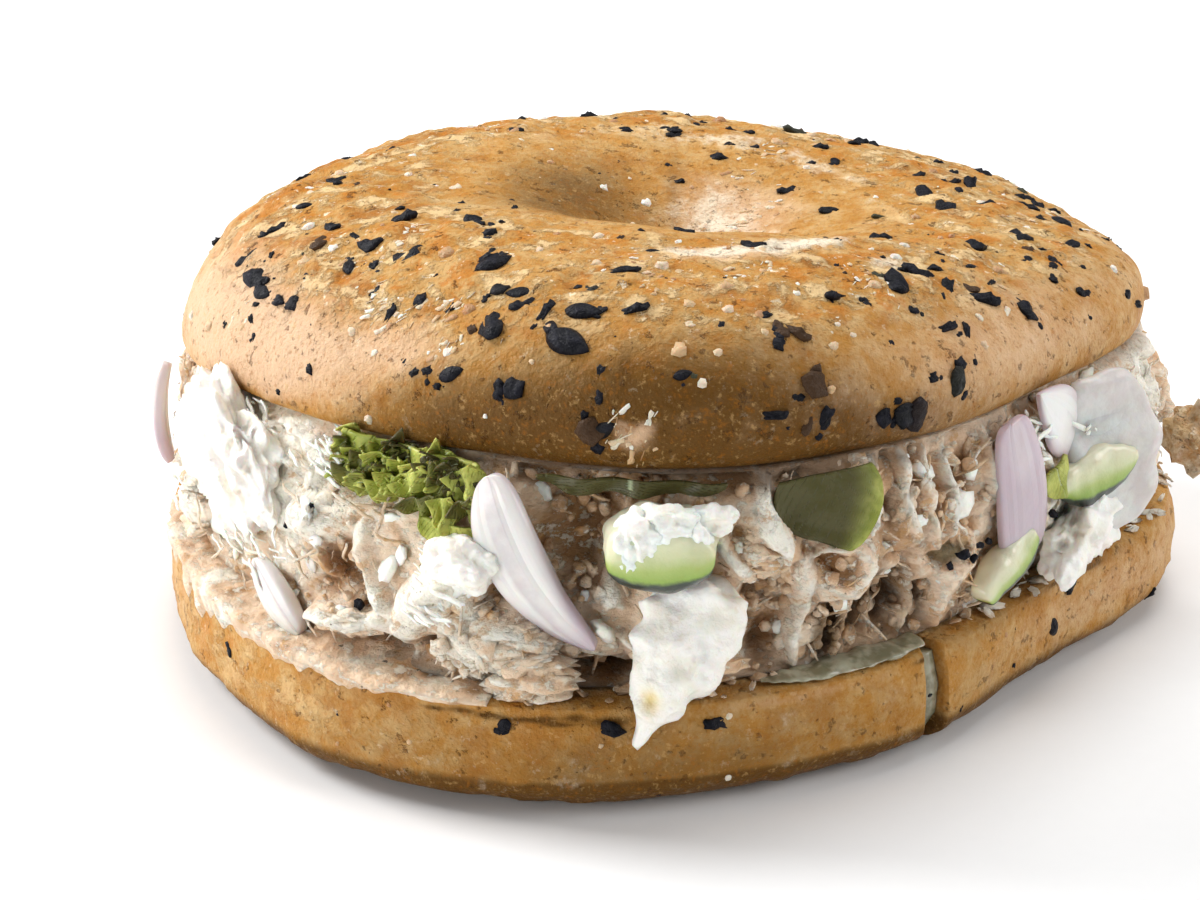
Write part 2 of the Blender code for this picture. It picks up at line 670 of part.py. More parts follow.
def build_drip(finish):
    """Cream cheese that runs down from the filling over the rim of the lower half."""
    # Angle, height, distance from the axis, half width and half thickness on the way down
    stations = (
        (271.5, 25.5, 52.5, 3.0, 1.6),
        (271.0, 23.5, 53.6, 5.4, 2.2),
        (270.2, 20.0, 54.6, 5.2, 2.5),
        (269.2, 16.5, 55.6, 4.4, 2.3),
        (267.6, 13.0, 56.3, 2.8, 1.9),
        (266.2, 10.6, 56.3, 1.6, 1.3),
        (265.2, 8.8, 56.0, 0.9, 0.9),
    )
    rings = []
    for angle, height, radius, half_width, half_depth in stations[::-1]:
        frame = Matrix.Translation(polar(angle, radius * MM, height * MM)) @ Matrix.Rotation(
            math.radians(angle), 4, "Z"
        )
        section = superellipse(10, half_depth * MM, half_width * MM, 0.9)
        rings.append([frame @ Vector((x, y, 0)) for x, y in section])
    low = polar(stations[-1][0], stations[-1][2] * MM, (stations[-1][1] - 0.9) * MM)
    high = polar(stations[0][0], stations[0][2] * MM, (stations[0][1] + 1.2) * MM)
    return add_object("cream_drip", turned_mesh("cream_drip", low, rings, high), finish)


def build_dressing(finish):
    """A streak of thin dressing that has run down the split in the lower half's rim."""
    reach = around(HEEL_REACH, SPLIT_ANGLE)
    turn = Matrix.Rotation(math.radians(SPLIT_ANGLE), 4, "Z")

    def half_width(behind):
        return SPLIT_WIDTH / 2 * (1 - behind / SPLIT_DEPTH) - GAP

    rings = []
    # Height, and how far its face and its back lie behind the rim's widest line
    for height, face, back in ((1.2, 2.6, 3.9), (4, 1.0, 3.2), (7.5, 0.8, 3.0), (10.8, 1.8, 3.2)):
        ring = []
        for behind, side in ((face, 1), (face, -1), (back, -1), (back, 1)):
            width = side * half_width(behind * MM)
            ring.append(turn @ Vector((reach - behind * MM, width, height * MM)))
        rings.append(ring)
    low = turn @ Vector((reach - 3.4 * MM, 0, 0.7 * MM))
    high = turn @ Vector((reach - 2.6 * MM, 0, 11.3 * MM))
    return add_object("dressing_streak", turned_mesh("dressing_streak", low, rings, high), finish)


def main():
    for obj in list(bpy.data.objects):
        bpy.data.objects.remove(obj)
    looks = {
        "crust": material("crust", (0.55, 0.32, 0.13), 0.55),
        "seed": material("seed", (0.02, 0.02, 0.03), 0.4),
        "salad": material("salad", (0.66, 0.50, 0.36), 0.6),
        "onion": material("onion", (0.72, 0.64, 0.68), 0.3),
        "leaf": material("leaf", (0.13, 0.24, 0.04), 0.45),
        "cucumber": material("cucumber", (0.52, 0.62, 0.30), 0.35),
        "cream": material("cream", (0.85, 0.84, 0.78), 0.4),
    }
    heel = build_heel(looks["crust"])
    crown = build_crown(looks["crust"])
    toppings = build_toppings(looks)
    shapes = [piece.data.copy() for piece in toppings]
    breads = [heel.data.copy(), crown.data.copy()]
    for number, piece in enumerate(toppings):
        near = [shape for shape in shapes[:number] if boxes_meet(shape, piece.data)]
        boolean(piece, [fuller(mesh, looks["crust"]) for mesh in breads + near], "DIFFERENCE")
    salad = build_salad(looks["salad"])
    boolean(salad, [fuller(shape, looks["salad"]) for shape in shapes], "DIFFERENCE")

    draw = random.Random(5)
    others = [*toppings, salad]
    spots = seed_places(draw, CROWN_SEEDS, crown_top, 0.12, 0.80, CROWN_LARGE_SEEDS)
    spots = [(CROWN_PLACE @ place, length) for place, length in spots]
    add_seeds(crown, spots, others, looks["seed"])
    spots = seed_places(draw, HEEL_SEEDS, heel_side, 0.35, 0.75, HEEL_LARGE_SEEDS)
    add_seeds(heel, spots, others, looks["seed"])


main()
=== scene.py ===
import json
import math
import random

import bpy
import numpy as np
from mathutils import Matrix, Vector, kdtree, noise

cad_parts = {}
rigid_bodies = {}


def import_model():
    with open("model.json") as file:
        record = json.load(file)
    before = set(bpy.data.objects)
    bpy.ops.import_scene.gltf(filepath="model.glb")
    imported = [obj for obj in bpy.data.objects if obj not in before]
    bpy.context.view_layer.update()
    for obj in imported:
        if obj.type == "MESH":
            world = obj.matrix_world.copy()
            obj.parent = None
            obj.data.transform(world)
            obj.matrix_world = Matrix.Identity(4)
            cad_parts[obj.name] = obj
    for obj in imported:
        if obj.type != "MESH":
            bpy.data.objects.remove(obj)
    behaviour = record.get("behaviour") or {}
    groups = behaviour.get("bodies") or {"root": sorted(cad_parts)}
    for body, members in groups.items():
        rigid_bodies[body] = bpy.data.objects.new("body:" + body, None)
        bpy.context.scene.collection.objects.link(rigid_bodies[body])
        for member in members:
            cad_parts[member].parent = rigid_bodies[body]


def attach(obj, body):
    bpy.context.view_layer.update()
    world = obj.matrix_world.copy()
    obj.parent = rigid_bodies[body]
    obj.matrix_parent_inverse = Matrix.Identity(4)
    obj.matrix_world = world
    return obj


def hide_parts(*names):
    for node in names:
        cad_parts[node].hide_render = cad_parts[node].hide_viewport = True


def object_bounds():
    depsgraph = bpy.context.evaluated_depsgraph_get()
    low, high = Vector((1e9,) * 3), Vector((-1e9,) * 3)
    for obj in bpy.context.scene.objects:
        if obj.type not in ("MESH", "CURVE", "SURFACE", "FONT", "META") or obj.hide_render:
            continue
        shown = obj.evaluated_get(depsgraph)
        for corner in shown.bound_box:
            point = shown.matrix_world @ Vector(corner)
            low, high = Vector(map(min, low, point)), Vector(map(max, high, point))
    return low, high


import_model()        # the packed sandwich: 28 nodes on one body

cadLow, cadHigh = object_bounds()
mm = 0.001
view = bpy.context.scene.view_settings
view.view_transform = "Standard"


# Angles are in degrees, counter-clockwise from +X seen from above: 270 is the front, 180 the left.
def compass(*values):  # twelve values, every 30 degrees from +X
    return np.array(values) * mm


heel = {
    "reach": compass(58, 57, 55, 54, 55.5, 57, 57.5, 59, 60, 54.5, 50, 48.5),
    "middle": 12.3 * mm,  # height of the cut over the origin
    "roll": math.radians(0.8),
    "foot": 0.87,  # share of the reach that is flat on the ground
    "corner": 3.8 * mm,
    "cornerShare": 0.45,  # share of the way up where the rounded corner ends
    "splitAngle": 302.5,
    "splitWidth": 3.2 * mm,
    "splitDepth": 6.5 * mm,
}
crown = {
    "reach": compass(53, 54, 52.5, 52, 53, 54.5, 55.5, 50.8, 49, 52, 48.5, 46.5),
    "ridge": compass(12.5, 13.5, 15.5, 17.2, 18, 18, 17.2, 17.2, 17.5, 17.5, 16, 13.5),
    "bulge": compass(2.5, 2.5, 3, 3.5, 3, 1.5, 0.8, 1.2, 3, 4.5, 4, 3),
    "middle": 31 * mm,
    "tilt": math.radians(6),
    "roll": math.radians(0.8),
    "ridgeShare": 0.54,  # of the reach, where the ridge lies
    "rim": 0.10,  # share of the way up where the rim's roll ends
    "top": 0.62,  # share where the ridge is reached
    "floor": 5 * mm,  # bottom of the closed hole over the cut
}
crustRelief = {"lump": (21 * mm, 0.9 * mm), "blister": (7 * mm, 0.35 * mm)}  # size, depth
salad = {"belly": 2.2 * mm, "chunk": 9 * mm, "depth": 3.2 * mm, "gap": 0.35 * mm, "spokes": 880, "rings": 106}


# Camera, floor and light
camera = {"lens": 100, "elevation": 24, "distance": 0.383, "target": (-0.0084, 0, 0.0162)}


def buildCamera():
    data = bpy.data.cameras.new("camera")
    data.lens = camera["lens"]
    data.sensor_width = 36
    data.clip_start, data.clip_end = 0.01, 20
    made = bpy.data.objects.new("camera", data)
    bpy.context.scene.collection.objects.link(made)
    up = math.radians(camera["elevation"])
    back = Vector((0, -math.cos(up), math.sin(up)))
    made.location = Vector(camera["target"]) + back * camera["distance"]
    made.rotation_euler = (math.pi / 2 - up, 0, 0)
    bpy.context.scene.camera = made


lamps = {  # place, size and power of each soft light
    "keyLight": {"place": (-0.62, 0.26, 0.46), "size": 0.34, "power": 6.6},
    "topLight": {"place": (0.14, 0.30, 0.80), "size": 0.6, "power": 4.9},
    "rightLight": {"place": (0.80, -0.14, 0.42), "size": 0.5, "power": 3.6},
    "leftLight": {"place": (-0.60, -0.54, 0.16), "size": 0.4, "power": 2.7},
}


def buildLights():
    for name, lamp in lamps.items():
        data = bpy.data.lights.new(name, "AREA")
        data.size = lamp["size"]
        data.energy = lamp["power"]
        made = bpy.data.objects.new(name, data)
        bpy.context.scene.collection.objects.link(made)
        made.location = lamp["place"]
        made.rotation_euler = (-Vector(lamp["place"])).to_track_quat("-Z", "Y").to_euler()
    world = bpy.data.worlds.new("room")
    world.use_nodes = True
    background = world.node_tree.nodes["Background"]
    background.inputs["Color"].default_value = (0.95, 0.97, 1, 1)
    background.inputs["Strength"].default_value = 0.22
    bpy.context.scene.world = world


def buildFloor():
    side = 3
    mesh = bpy.data.meshes.new("floor")
    corners = [(-side, -side, 0), (side, -side, 0), (side, side, 0), (-side, side, 0)]
    mesh.from_pydata(corners, [], [(0, 1, 2, 3)])
    floor = bpy.data.objects.new("floor", mesh)
    bpy.context.scene.collection.objects.link(floor)
    finish = Finish("paperFinish", Roughness=0.7)
    fibre = finish.grain(2 * mm, 4)
    finish.paint(finish.mix(fibre, (0.93, 0.93, 0.93), (0.95, 0.95, 0.95)))
    mesh.materials.append(finish.material)


# Shader maths written as Python expressions
class Signal:
    def __init__(self, finish, socket):
        self.finish, self.socket = finish, socket

    def maths(self, operation, first, second):
        return self.finish.node("ShaderNodeMath", {"operation": operation}, {0: first, 1: second})

    def __add__(self, other):
        return self.maths("ADD", self, other)

    def __sub__(self, other):
        return self.maths("SUBTRACT", self, other)

    def __rsub__(self, other):
        return self.maths("SUBTRACT", other, self)

    def __mul__(self, other):
        return self.maths("MULTIPLY", self, other)

    def __pow__(self, other):
        return self.maths("POWER", self, other)

    __radd__ = __add__
    __rmul__ = __mul__


class Finish:
    def __init__(self, name, **constants):
        self.material = bpy.data.materials.new(name)
        self.material.use_nodes = True
        self.tree = self.material.node_tree
        self.shader = self.tree.nodes["Principled BSDF"]
        for socket, value in constants.items():
            self.feed(self.shader.inputs[socket.replace("_", " ")], value)
        self.place = self.node("ShaderNodeTexCoord", {}, {}, "Object")

    def feed(self, socket, value):
        if isinstance(value, Signal):
            self.tree.links.new(value.socket, socket)
        elif isinstance(value, tuple) and socket.type == "RGBA":
            socket.default_value = (*value[:3], 1)
        else:
            socket.default_value = value

    def node(self, kind, settings, sockets, out=0):
        made = self.tree.nodes.new(kind)
        for key, value in settings.items():
            if key == "stops":
                elements = made.color_ramp.elements
                while len(elements) < len(value):
                    elements.new(0.5)
                for element, (position, colour) in zip(elements, value):
                    element.position, element.color = position, (*colour, 1)
            else:
                setattr(made, key, value)
        for key, value in sockets.items():
            self.feed(made.inputs[key], value)
        return Signal(self, made.outputs[out])

    def grain(self, size, detail=3, rough=0.55, shift=0.0, stretch=None):  # noise, 0 to 1
        place = self.place
        if stretch or shift:
            sockets = {"Vector": place, "Location": (shift, shift, shift)}
            if stretch:
                sockets["Scale"] = stretch
            place = self.node("ShaderNodeMapping", {}, sockets)
        sockets = {"Vector": place, "Scale": 1 / size, "Detail": detail, "Roughness": rough}
        return self.node("ShaderNodeTexNoise", {}, sockets)

    def field(self, name):
        return self.node("ShaderNodeAttribute", {"attribute_name": name}, {}, "Fac")

    def span(self, value, low, high):  # 0 below low, 1 above high
        sockets = {"Value": value, "From Min": low, "From Max": high}
        return self.node("ShaderNodeMapRange", {"interpolation_type": "SMOOTHSTEP"}, sockets)

    def mix(self, share, first, second):
        return self.node("ShaderNodeMix", {"data_type": "RGBA"}, {0: share, 6: first, 7: second}, 2)

    def paint(self, colour, roughness=None):
        self.feed(self.shader.inputs["Base Color"], colour)
        if roughness is not None:
            self.feed(self.shader.inputs["Roughness"], roughness)

    def relief(self, height, distance, strength=1.0):
        sockets = {"Height": height, "Distance": distance, "Strength": strength}
        self.feed(self.shader.inputs["Normal"], self.node("ShaderNodeBump", {}, sockets))


def crustFinish():
    skin = {
        "golden": (0.49, 0.232, 0.048),
        "tan": (0.58, 0.355, 0.135),
        "pale": (0.70, 0.465, 0.29),
        "deep": (0.36, 0.125, 0.012),
        # the colour of the painted shade
        "dark": (0.105, 0.045, 0.006),
        "crumb": (0.66, 0.52, 0.32),
        "fleck": (0.12, 0.045, 0.010),
        "flour": (0.90, 0.79, 0.58),
        "melted": (0.80, 0.58, 0.30),
        "baked": (0.50, 0.18, 0.02),
        "creamy": (0.86, 0.74, 0.56),
    }
    made = Finish("crustFinish", Specular_IOR_Level=0.10, Subsurface_Weight=0.03,
                  Subsurface_Scale=1 * mm)
    pale, dark, crumb, rough = (made.field(k) for k in ("pale", "dark", "crumb", "rough"))
    white = made.field("white")
    broad, mottle = made.grain(15 * mm, 3), made.grain(3.6 * mm, 6, 0.68)
    fine, dust = made.grain(1.1 * mm, 4, 0.65), made.grain(0.45 * mm, 2)
    speckle = made.grain(0.8 * mm, 3, 0.7, 2.1)
    scaly = made.grain(4.4 * mm, 6, 0.66, 4.4, (1, 1, 1.3))
    blend = made.span(mottle + 0.6 * (fine - 0.5) + 0.25 * (broad - 0.5), 0.36, 0.66)
    colour = made.mix(blend, skin["golden"], skin["tan"])
    toasted = made.span(made.grain(5.5 * mm, 6, 0.68, 0.3) + 0.2 * (fine - 0.5), 0.50, 0.64)
    colour = made.mix(toasted * (0.25 + 0.60 * rough), colour, skin["deep"])
    melted = made.span(scaly, 0.50, 0.60) * made.span(rough, 0.35, 0.8)
    colour = made.mix(melted * 0.80, colour, skin["melted"])
    baked = made.span(scaly, 0.46, 0.37) * made.span(rough, 0.3, 0.8)
    colour = made.mix(baked * 0.8, colour, skin["baked"])
    # painted shade: the dark field darkens the crust under the crown's front, on the dimple's walls, at the
    # heel's foot and under the salad
    shade = made.span(dark + 0.45 * (broad - 0.5) + 0.35 * (mottle - 0.5), 0.05, 1.0)
    colour = made.mix(shade * 0.94, colour, skin["dark"])
    uneven = 0.8 * (mottle - 0.5) + 0.3 * (broad - 0.5) + 0.2 * (speckle - 0.5)
    colour = made.mix(made.span(1.1 * pale - 0.09 + uneven, 0.05, 0.95), colour, skin["pale"])
    creamy = made.span(white + 1.2 * (mottle - 0.5) + 0.4 * (fine - 0.5), 0.2, 0.7)
    colour = made.mix(creamy, colour, skin["creamy"])
    flecks = made.span(made.grain(1.5 * mm, 4, 0.7, 0.7), 0.60, 0.68)
    colour = made.mix(flecks * (0.30 + 0.50 * rough), colour, skin["fleck"])
    flour = made.span(made.grain(1.3 * mm, 4, 0.7, 1.3), 0.60, 0.70)
    colour = made.mix(flour * (0.06 + 0.84 * rough**2), colour, skin["flour"])
    colour = made.mix(made.span(speckle, 0.56, 0.70) * 0.40, colour, skin["tan"])
    colour = made.mix(made.span(speckle, 0.46, 0.30) * 0.45, colour, skin["deep"])
    inside = made.mix(made.span(fine, 0.4, 0.62), skin["crumb"], skin["tan"])
    colour = made.mix(crumb, colour, inside)
    made.paint(colour, made.span(mottle, 0.2, 0.8) * 0.15 + 0.42)
    height = 0.60 * mottle * rough + 0.42 * fine + 0.22 * dust + 0.35 * flecks + 0.45 * melted
    made.relief(height + 0.15 * mottle, 0.75 * mm, 0.95)
    return made.material


def seedFinish():
    made = Finish("seedFinish", Specular_IOR_Level=0.16)
    tone, chip = made.field("tone"), made.grain(0.9 * mm, 4, 0.6)
    skin = made.mix(made.span(chip, 0.42, 0.72), (0.0012, 0.0015, 0.0045), (0.010, 0.010, 0.018))
    brown = made.mix(made.span(tone, 0.92, 0.97), skin, (0.06, 0.03, 0.013))
    olive = made.mix(made.span(tone, 0.0, 0.09), (0.055, 0.055, 0.03), brown)
    made.paint(olive, made.grain(1 * mm, 2) * 0.3 + 0.30)
    made.relief(chip, 0.5 * mm)
    return made.material


def paleGrainFinish():
    made = Finish("paleGrainFinish", Subsurface_Weight=0.2, Subsurface_Scale=0.6 * mm)
    tone = made.field("tone")
    stops = [(0.0, (0.86, 0.84, 0.78)), (0.35, (0.80, 0.70, 0.55)), (0.70, (0.66, 0.45, 0.24)),
             (1.0, (0.42, 0.20, 0.07))]
    colour = made.node("ShaderNodeValToRGB", {"stops": stops}, {"Fac": tone})
    colour = made.mix(made.span(made.grain(0.7 * mm, 3), 0.45, 0.75) * 0.35, colour, (0.45, 0.27, 0.13))
    made.paint(colour, made.grain(0.6 * mm, 2) * 0.3 + 0.35)
    made.relief(made.grain(0.5 * mm, 3), 0.3 * mm)
    return made.material


def fishFinish():
    flesh = {
        "pink": (0.94, 0.73, 0.54),
        "cream": (0.98, 0.925, 0.80),
        "tan": (0.76, 0.52, 0.33),
        "brown": (0.42, 0.215, 0.08),
        "shade": (0.10, 0.05, 0.02),
        "olive": (0.21, 0.18, 0.09),
        "orange": (0.62, 0.34, 0.12),
        "black": (0.10, 0.07, 0.03),
    }
    made = Finish("fishFinish", Subsurface_Weight=0.22, Subsurface_Scale=1.6 * mm,
                  Subsurface_Radius=(1.0, 0.6, 0.4), Specular_IOR_Level=0.25, Coat_Roughness=0.15)
    tone, creamy, brown = (made.field(k) for k in ("tone", "creamy", "brown"))
    olive, deep = made.field("olive"), made.field("deep")
    broad, mottle = made.grain(6 * mm, 4, 0.6), made.grain(1.9 * mm, 5, 0.7)
    fibres, dust = made.grain(1.0 * mm, 5, 0.65, 0.2, (1, 1, 2.4)), made.grain(0.5 * mm, 3, 0.6)
    colour = made.mix(made.span(tone + 0.9 * (mottle - 0.5), 0.15, 0.85), flesh["pink"], flesh["tan"])
    milk = made.span(creamy + 1.1 * (broad - 0.5) + 1.2 * (mottle - 0.5), 0.15, 0.80)
    colour = made.mix(milk, colour, flesh["cream"])
    dull = made.span(brown + 0.7 * (mottle - 0.5) + 0.5 * (fibres - 0.5), 0.28, 0.85)
    colour = made.mix(dull * 0.92, colour, flesh["brown"])
    spots = made.span(made.grain(2.2 * mm, 4, 0.65, 0.9), 0.57, 0.66)
    colour = made.mix(spots * 0.65, colour, flesh["orange"])
    shreds = made.span(made.grain(1.5 * mm, 5, 0.7, 2.7, (1, 1, 1.6)), 0.54, 0.61)
    colour = made.mix(shreds * 0.75, colour, flesh["cream"])
    colour = made.mix(made.span(olive + 0.5 * (mottle - 0.5), 0.2, 1.0) * 0.85, colour, flesh["olive"])
    colour = made.mix(made.span(fibres, 0.43, 0.30) * (0.25 + 0.4 * dull), colour, flesh["brown"])
    specks = made.span(made.grain(1.1 * mm, 3, 0.6, 1.7), 0.68, 0.74)
    colour = made.mix(specks * 0.8, colour, flesh["black"])
    # painted shade: the deep field darkens the salad's hollows, the gaps between chunks, its foot and the
    # band under the crown
    colour = made.mix(made.span(deep, 0.12, 0.9) * 0.85, colour, flesh["shade"])
    made.paint(colour, 0.26 + 0.28 * mottle)
    made.feed(made.shader.inputs["Coat Weight"], made.span(made.grain(3 * mm, 3), 0.50, 0.66) * 0.30)
    made.relief(0.6 * fibres + 0.7 * mottle + 0.2 * dust + 0.3 * shreds, 0.7 * mm, 0.85)
    return made.material


def creamFinish():
    made = Finish("creamFinish", Subsurface_Weight=0.25, Subsurface_Scale=1.5 * mm, Coat_Weight=0.12,
                  Coat_Roughness=0.25, Specular_IOR_Level=0.3)
    stain = made.field("stain")
    soft, fine = made.grain(3.5 * mm, 4, 0.6), made.grain(0.9 * mm, 3)
    colour = made.mix(made.span(soft, 0.40, 0.68), (0.97, 0.95, 0.89), (0.91, 0.87, 0.76))
    specks = made.span(made.grain(1.4 * mm, 3, 0.6, 0.4), 0.62, 0.72)
    colour = made.mix(specks * 0.3, colour, (0.74, 0.61, 0.38))
    colour = made.mix(stain, colour, (0.80, 0.60, 0.17))
    made.paint(colour, 0.28 + 0.25 * soft)
    made.relief(0.7 * soft + 0.4 * fine, 0.7 * mm, 0.85)
    return made.material


def onionFinish():
    made = Finish("onionFinish", Subsurface_Weight=0.3, Subsurface_Scale=2 * mm, Coat_Weight=0.45,
                  Coat_Roughness=0.12, Roughness=0.3)
    edge, streak = made.field("edge"), made.field("streak")
    veins = made.grain(1.6 * mm, 3, 0.5, 0.1)
    colour = made.mix(made.span(edge, 0.25, 1.0), (0.83, 0.81, 0.78), (0.52, 0.42, 0.47))
    colour = made.mix(made.span(streak + 0.5 * (veins - 0.5), 0.5, 1.0) * 0.5, colour, (0.52, 0.43, 0.46))
    made.paint(colour)
    made.relief(streak + 0.5 * veins, 0.35 * mm, 0.7)
    return made.material


def veilFinish():  # a slice cut so thin that light comes through
    made = Finish("veilFinish", Subsurface_Weight=0.3, Subsurface_Scale=2 * mm, Coat_Weight=0.2,
                  Coat_Roughness=0.15, Roughness=0.35, Alpha=0.72)
    soft = made.grain(3 * mm, 4, 0.6)
    made.paint(made.mix(made.span(soft, 0.35, 0.65), (0.86, 0.85, 0.82), (0.74, 0.70, 0.68)))
    made.relief(soft, 0.5 * mm, 0.6)
    return made.material


def cucumberFinish():
    made = Finish("cucumberFinish", Subsurface_Weight=0.25, Subsurface_Scale=1.5 * mm, Coat_Weight=0.5,
                  Coat_Roughness=0.1)
    skin = made.field("skin")
    flesh = made.grain(2.2 * mm, 4, 0.6)
    level = skin + 0.16 * (flesh - 0.5)
    stops = [
        (0.0, (0.76, 0.74, 0.54)), (0.40, (0.64, 0.67, 0.38)), (0.60, (0.42, 0.52, 0.14)),
        (0.78, (0.26, 0.40, 0.05)), (0.86, (0.03, 0.045, 0.03)), (1.0, (0.015, 0.025, 0.02)),
    ]  # from the flesh to the dark skin
    colour = made.node("ShaderNodeValToRGB", {"stops": stops}, {"Fac": level})
    made.paint(colour, 0.2 + 0.3 * flesh)
    made.relief(flesh, 0.4 * mm, 0.6)
    return made.material


def leafFinish():
    made = Finish("leafFinish", Subsurface_Weight=0.12, Subsurface_Scale=0.8 * mm, Coat_Weight=0.12,
                  Coat_Roughness=0.2, Roughness=0.45, Specular_IOR_Level=0.25)
    vein, dim = made.field("vein"), made.field("dim")
    patch, fine = made.grain(4 * mm, 4, 0.6), made.grain(0.8 * mm, 3)
    colour = made.mix(made.span(patch, 0.35, 0.65), (0.26, 0.31, 0.035), (0.60, 0.63, 0.15))
    # dim: a darker leaf, partly painted shade under the crown's rim
    colour = made.mix(made.span(dim, 0.2, 1.0), colour, (0.075, 0.068, 0.018))
    colour = made.mix(made.span(vein, 0.45, 1.0) * 0.75, colour, (0.52, 0.60, 0.36))
    made.paint(colour)
    made.relief(0.6 * patch + 0.4 * fine - 0.7 * vein, 0.4 * mm, 0.8)
    return made.material


def dressingFinish():
    made = Finish("dressingFinish", Roughness=0.25, Coat_Weight=0.5, Coat_Roughness=0.08,
                  Subsurface_Weight=0.15, Subsurface_Scale=1 * mm)
    soft = made.grain(2 * mm, 3)
    made.paint(made.mix(made.span(soft, 0.38, 0.62), (0.24, 0.225, 0.14), (0.42, 0.41, 0.30)))
    made.relief(soft, 0.3 * mm, 0.4)
    return made.material


# Shapes shared with the solids
def around(table, angle):  # a compass table's value, on a smooth closed curve
    turn = (np.asarray(angle, float) % 360) / 30
    index = np.floor(turn).astype(int)
    part = turn - index
    before, here, after, beyond = (table[(index + k) % 12] for k in (-1, 0, 1, 2))
    slope = after - before
    curve = 2 * before - 5 * here + 4 * after - beyond
    twist = 3 * (here - after) + beyond - before
    return here + 0.5 * part * (slope + part * (curve + part * twist))


def polar(angle, radius, height):
    turn = np.radians(angle)
    return np.stack(np.broadcast_arrays(radius * np.cos(turn), radius * np.sin(turn), height), -1)


def ripple(points, size, salt=0.0):  # noise at each point, -1 to 1
    flat = (points.reshape(-1, 3) + (0, 0, salt)) / size
    values = np.fromiter((noise.noise(p) for p in flat.tolist()), float, len(flat))
    return values.reshape(points.shape[:-1])


def bakedRelief(points, salt):
    return sum(ripple(points, size, salt) * depth for size, depth in crustRelief.values())


def heelCut(x):
    return heel["middle"] - x * math.tan(heel["roll"])


crownPlace = (
    Matrix.Translation((0, 0, crown["middle"]))
    @ Matrix.Rotation(-crown["tilt"], 4, "X")
    @ Matrix.Rotation(-crown["roll"], 4, "Y")
)
crownUp = crownPlace.to_3x3() @ Vector((0, 0, 1))


def crownCut(x, y):
    return crown["middle"] - (x * crownUp.x + y * crownUp.y) / crownUp.z


def moved(points, place):
    matrix = np.array(place)
    return points @ matrix[:3, :3].T + matrix[:3, 3]


def heelSide(angle, share):  # from the foot's edge (0) to the cut (1)
    angle, share = np.broadcast_arrays(np.asarray(angle, float), np.asarray(share, float))
    turn = np.minimum(1, share / heel["cornerShare"]) * np.pi / 2
    out = heel["foot"] + (1 - heel["foot"]) * np.sin(turn)
    points = polar(angle, around(heel["reach"], angle) * out, heel["corner"] * (1 - np.cos(turn)))
    wall = np.maximum(0, share - heel["cornerShare"]) / (1 - heel["cornerShare"])
    points[..., 2] += (heelCut(points[..., 0]) - heel["corner"] - 0.3 * mm) * wall
    swell = bakedRelief(points, 0) * np.sin(share * np.pi) ** 0.5
    return points + polar(angle, swell - 0.8 * mm * wall**3, 0)


def crownTop(angle, share):  # from the cut's edge (0) over the ridge to the dimple (1)
    angle, share = np.broadcast_arrays(np.asarray(angle, float), np.asarray(share, float))
    reach, high, bulge = (around(crown[k], angle) for k in ("reach", "ridge", "bulge"))
    ridge, rim, top = crown["ridgeShare"] * reach, crown["rim"], crown["top"]
    low = np.clip(share / rim, 0, 1) * np.pi / 2
    side = np.clip((share - rim) / (top - rim), 0, 1) * np.pi / 2
    inward = np.clip((share - top) / (1 - top), 0, 1)
    radius = np.where(
        share < rim,
        reach - 0.5 * bulge * (1 - np.sin(low)),
        np.where(share < top, ridge + (reach - ridge) * np.cos(side) ** 0.95, ridge * (1 - inward)),
    )
    height = np.where(
        share < rim,
        bulge * (1 - np.cos(low)),
        np.where(
            share < top,
            bulge + (high - bulge) * np.sin(side) ** 0.95,
            crown["floor"] + (high - crown["floor"]) * (1 - inward**2.1) ** 0.85,
        ),
    )
    points = polar(angle, radius, height)
    fade = np.minimum(1, share / 0.06) * np.minimum(1, (1 - share) / 0.12)
    points[..., 2] += bakedRelief(points, 1) * fade
    return points


def saladSide(angle, share):  # from the lower cut (0) to the upper one (1)
    angle, share = np.broadcast_arrays(np.asarray(angle, float), np.asarray(share, float))
    low = around(heel["reach"], angle) * 0.93
    high = around(crown["reach"], angle) * 0.97
    points = polar(angle, low + (high - low) * share + salad["belly"] * 4 * share * (1 - share), 0.0)
    bottom = heelCut(points[..., 0]) + salad["gap"]
    top = crownCut(points[..., 0], points[..., 1]) - salad["gap"]
    points[..., 2] = bottom + (top - bottom) * share
    return points


def sideFrame(angle, share, out=0.0, slope=0.0, lean=0.0):  # X out, Y to the right, Z up
    at = Vector(saladSide(angle, share) + polar(angle, out * mm, 0.0))
    turn = Matrix.Rotation(math.radians(angle), 4, "Z") @ Matrix.Rotation(math.radians(slope), 4, "X")
    return Matrix.Translation(at) @ turn @ Matrix.Rotation(math.radians(lean), 4, "Y")


def heldBetweenCuts(points, gap=0.12 * mm):  # keeps what lies between the halves out of both
    angle = np.degrees(np.arctan2(points[..., 1], points[..., 0]))
    radius = np.hypot(points[..., 0], points[..., 1])
    low = heelCut(points[..., 0]) + gap
    high = crownCut(points[..., 0], points[..., 1]) - gap
    height = points[..., 2]
    onHeel = radius < around(heel["reach"], angle) - 0.5 * mm
    underCrown = radius < around(crown["reach"], angle) + 0.2 * mm
    height = np.where(onHeel, np.maximum(height, low), height)
    points[..., 2] = np.where(underCrown, np.minimum(height, high), height)
    return points


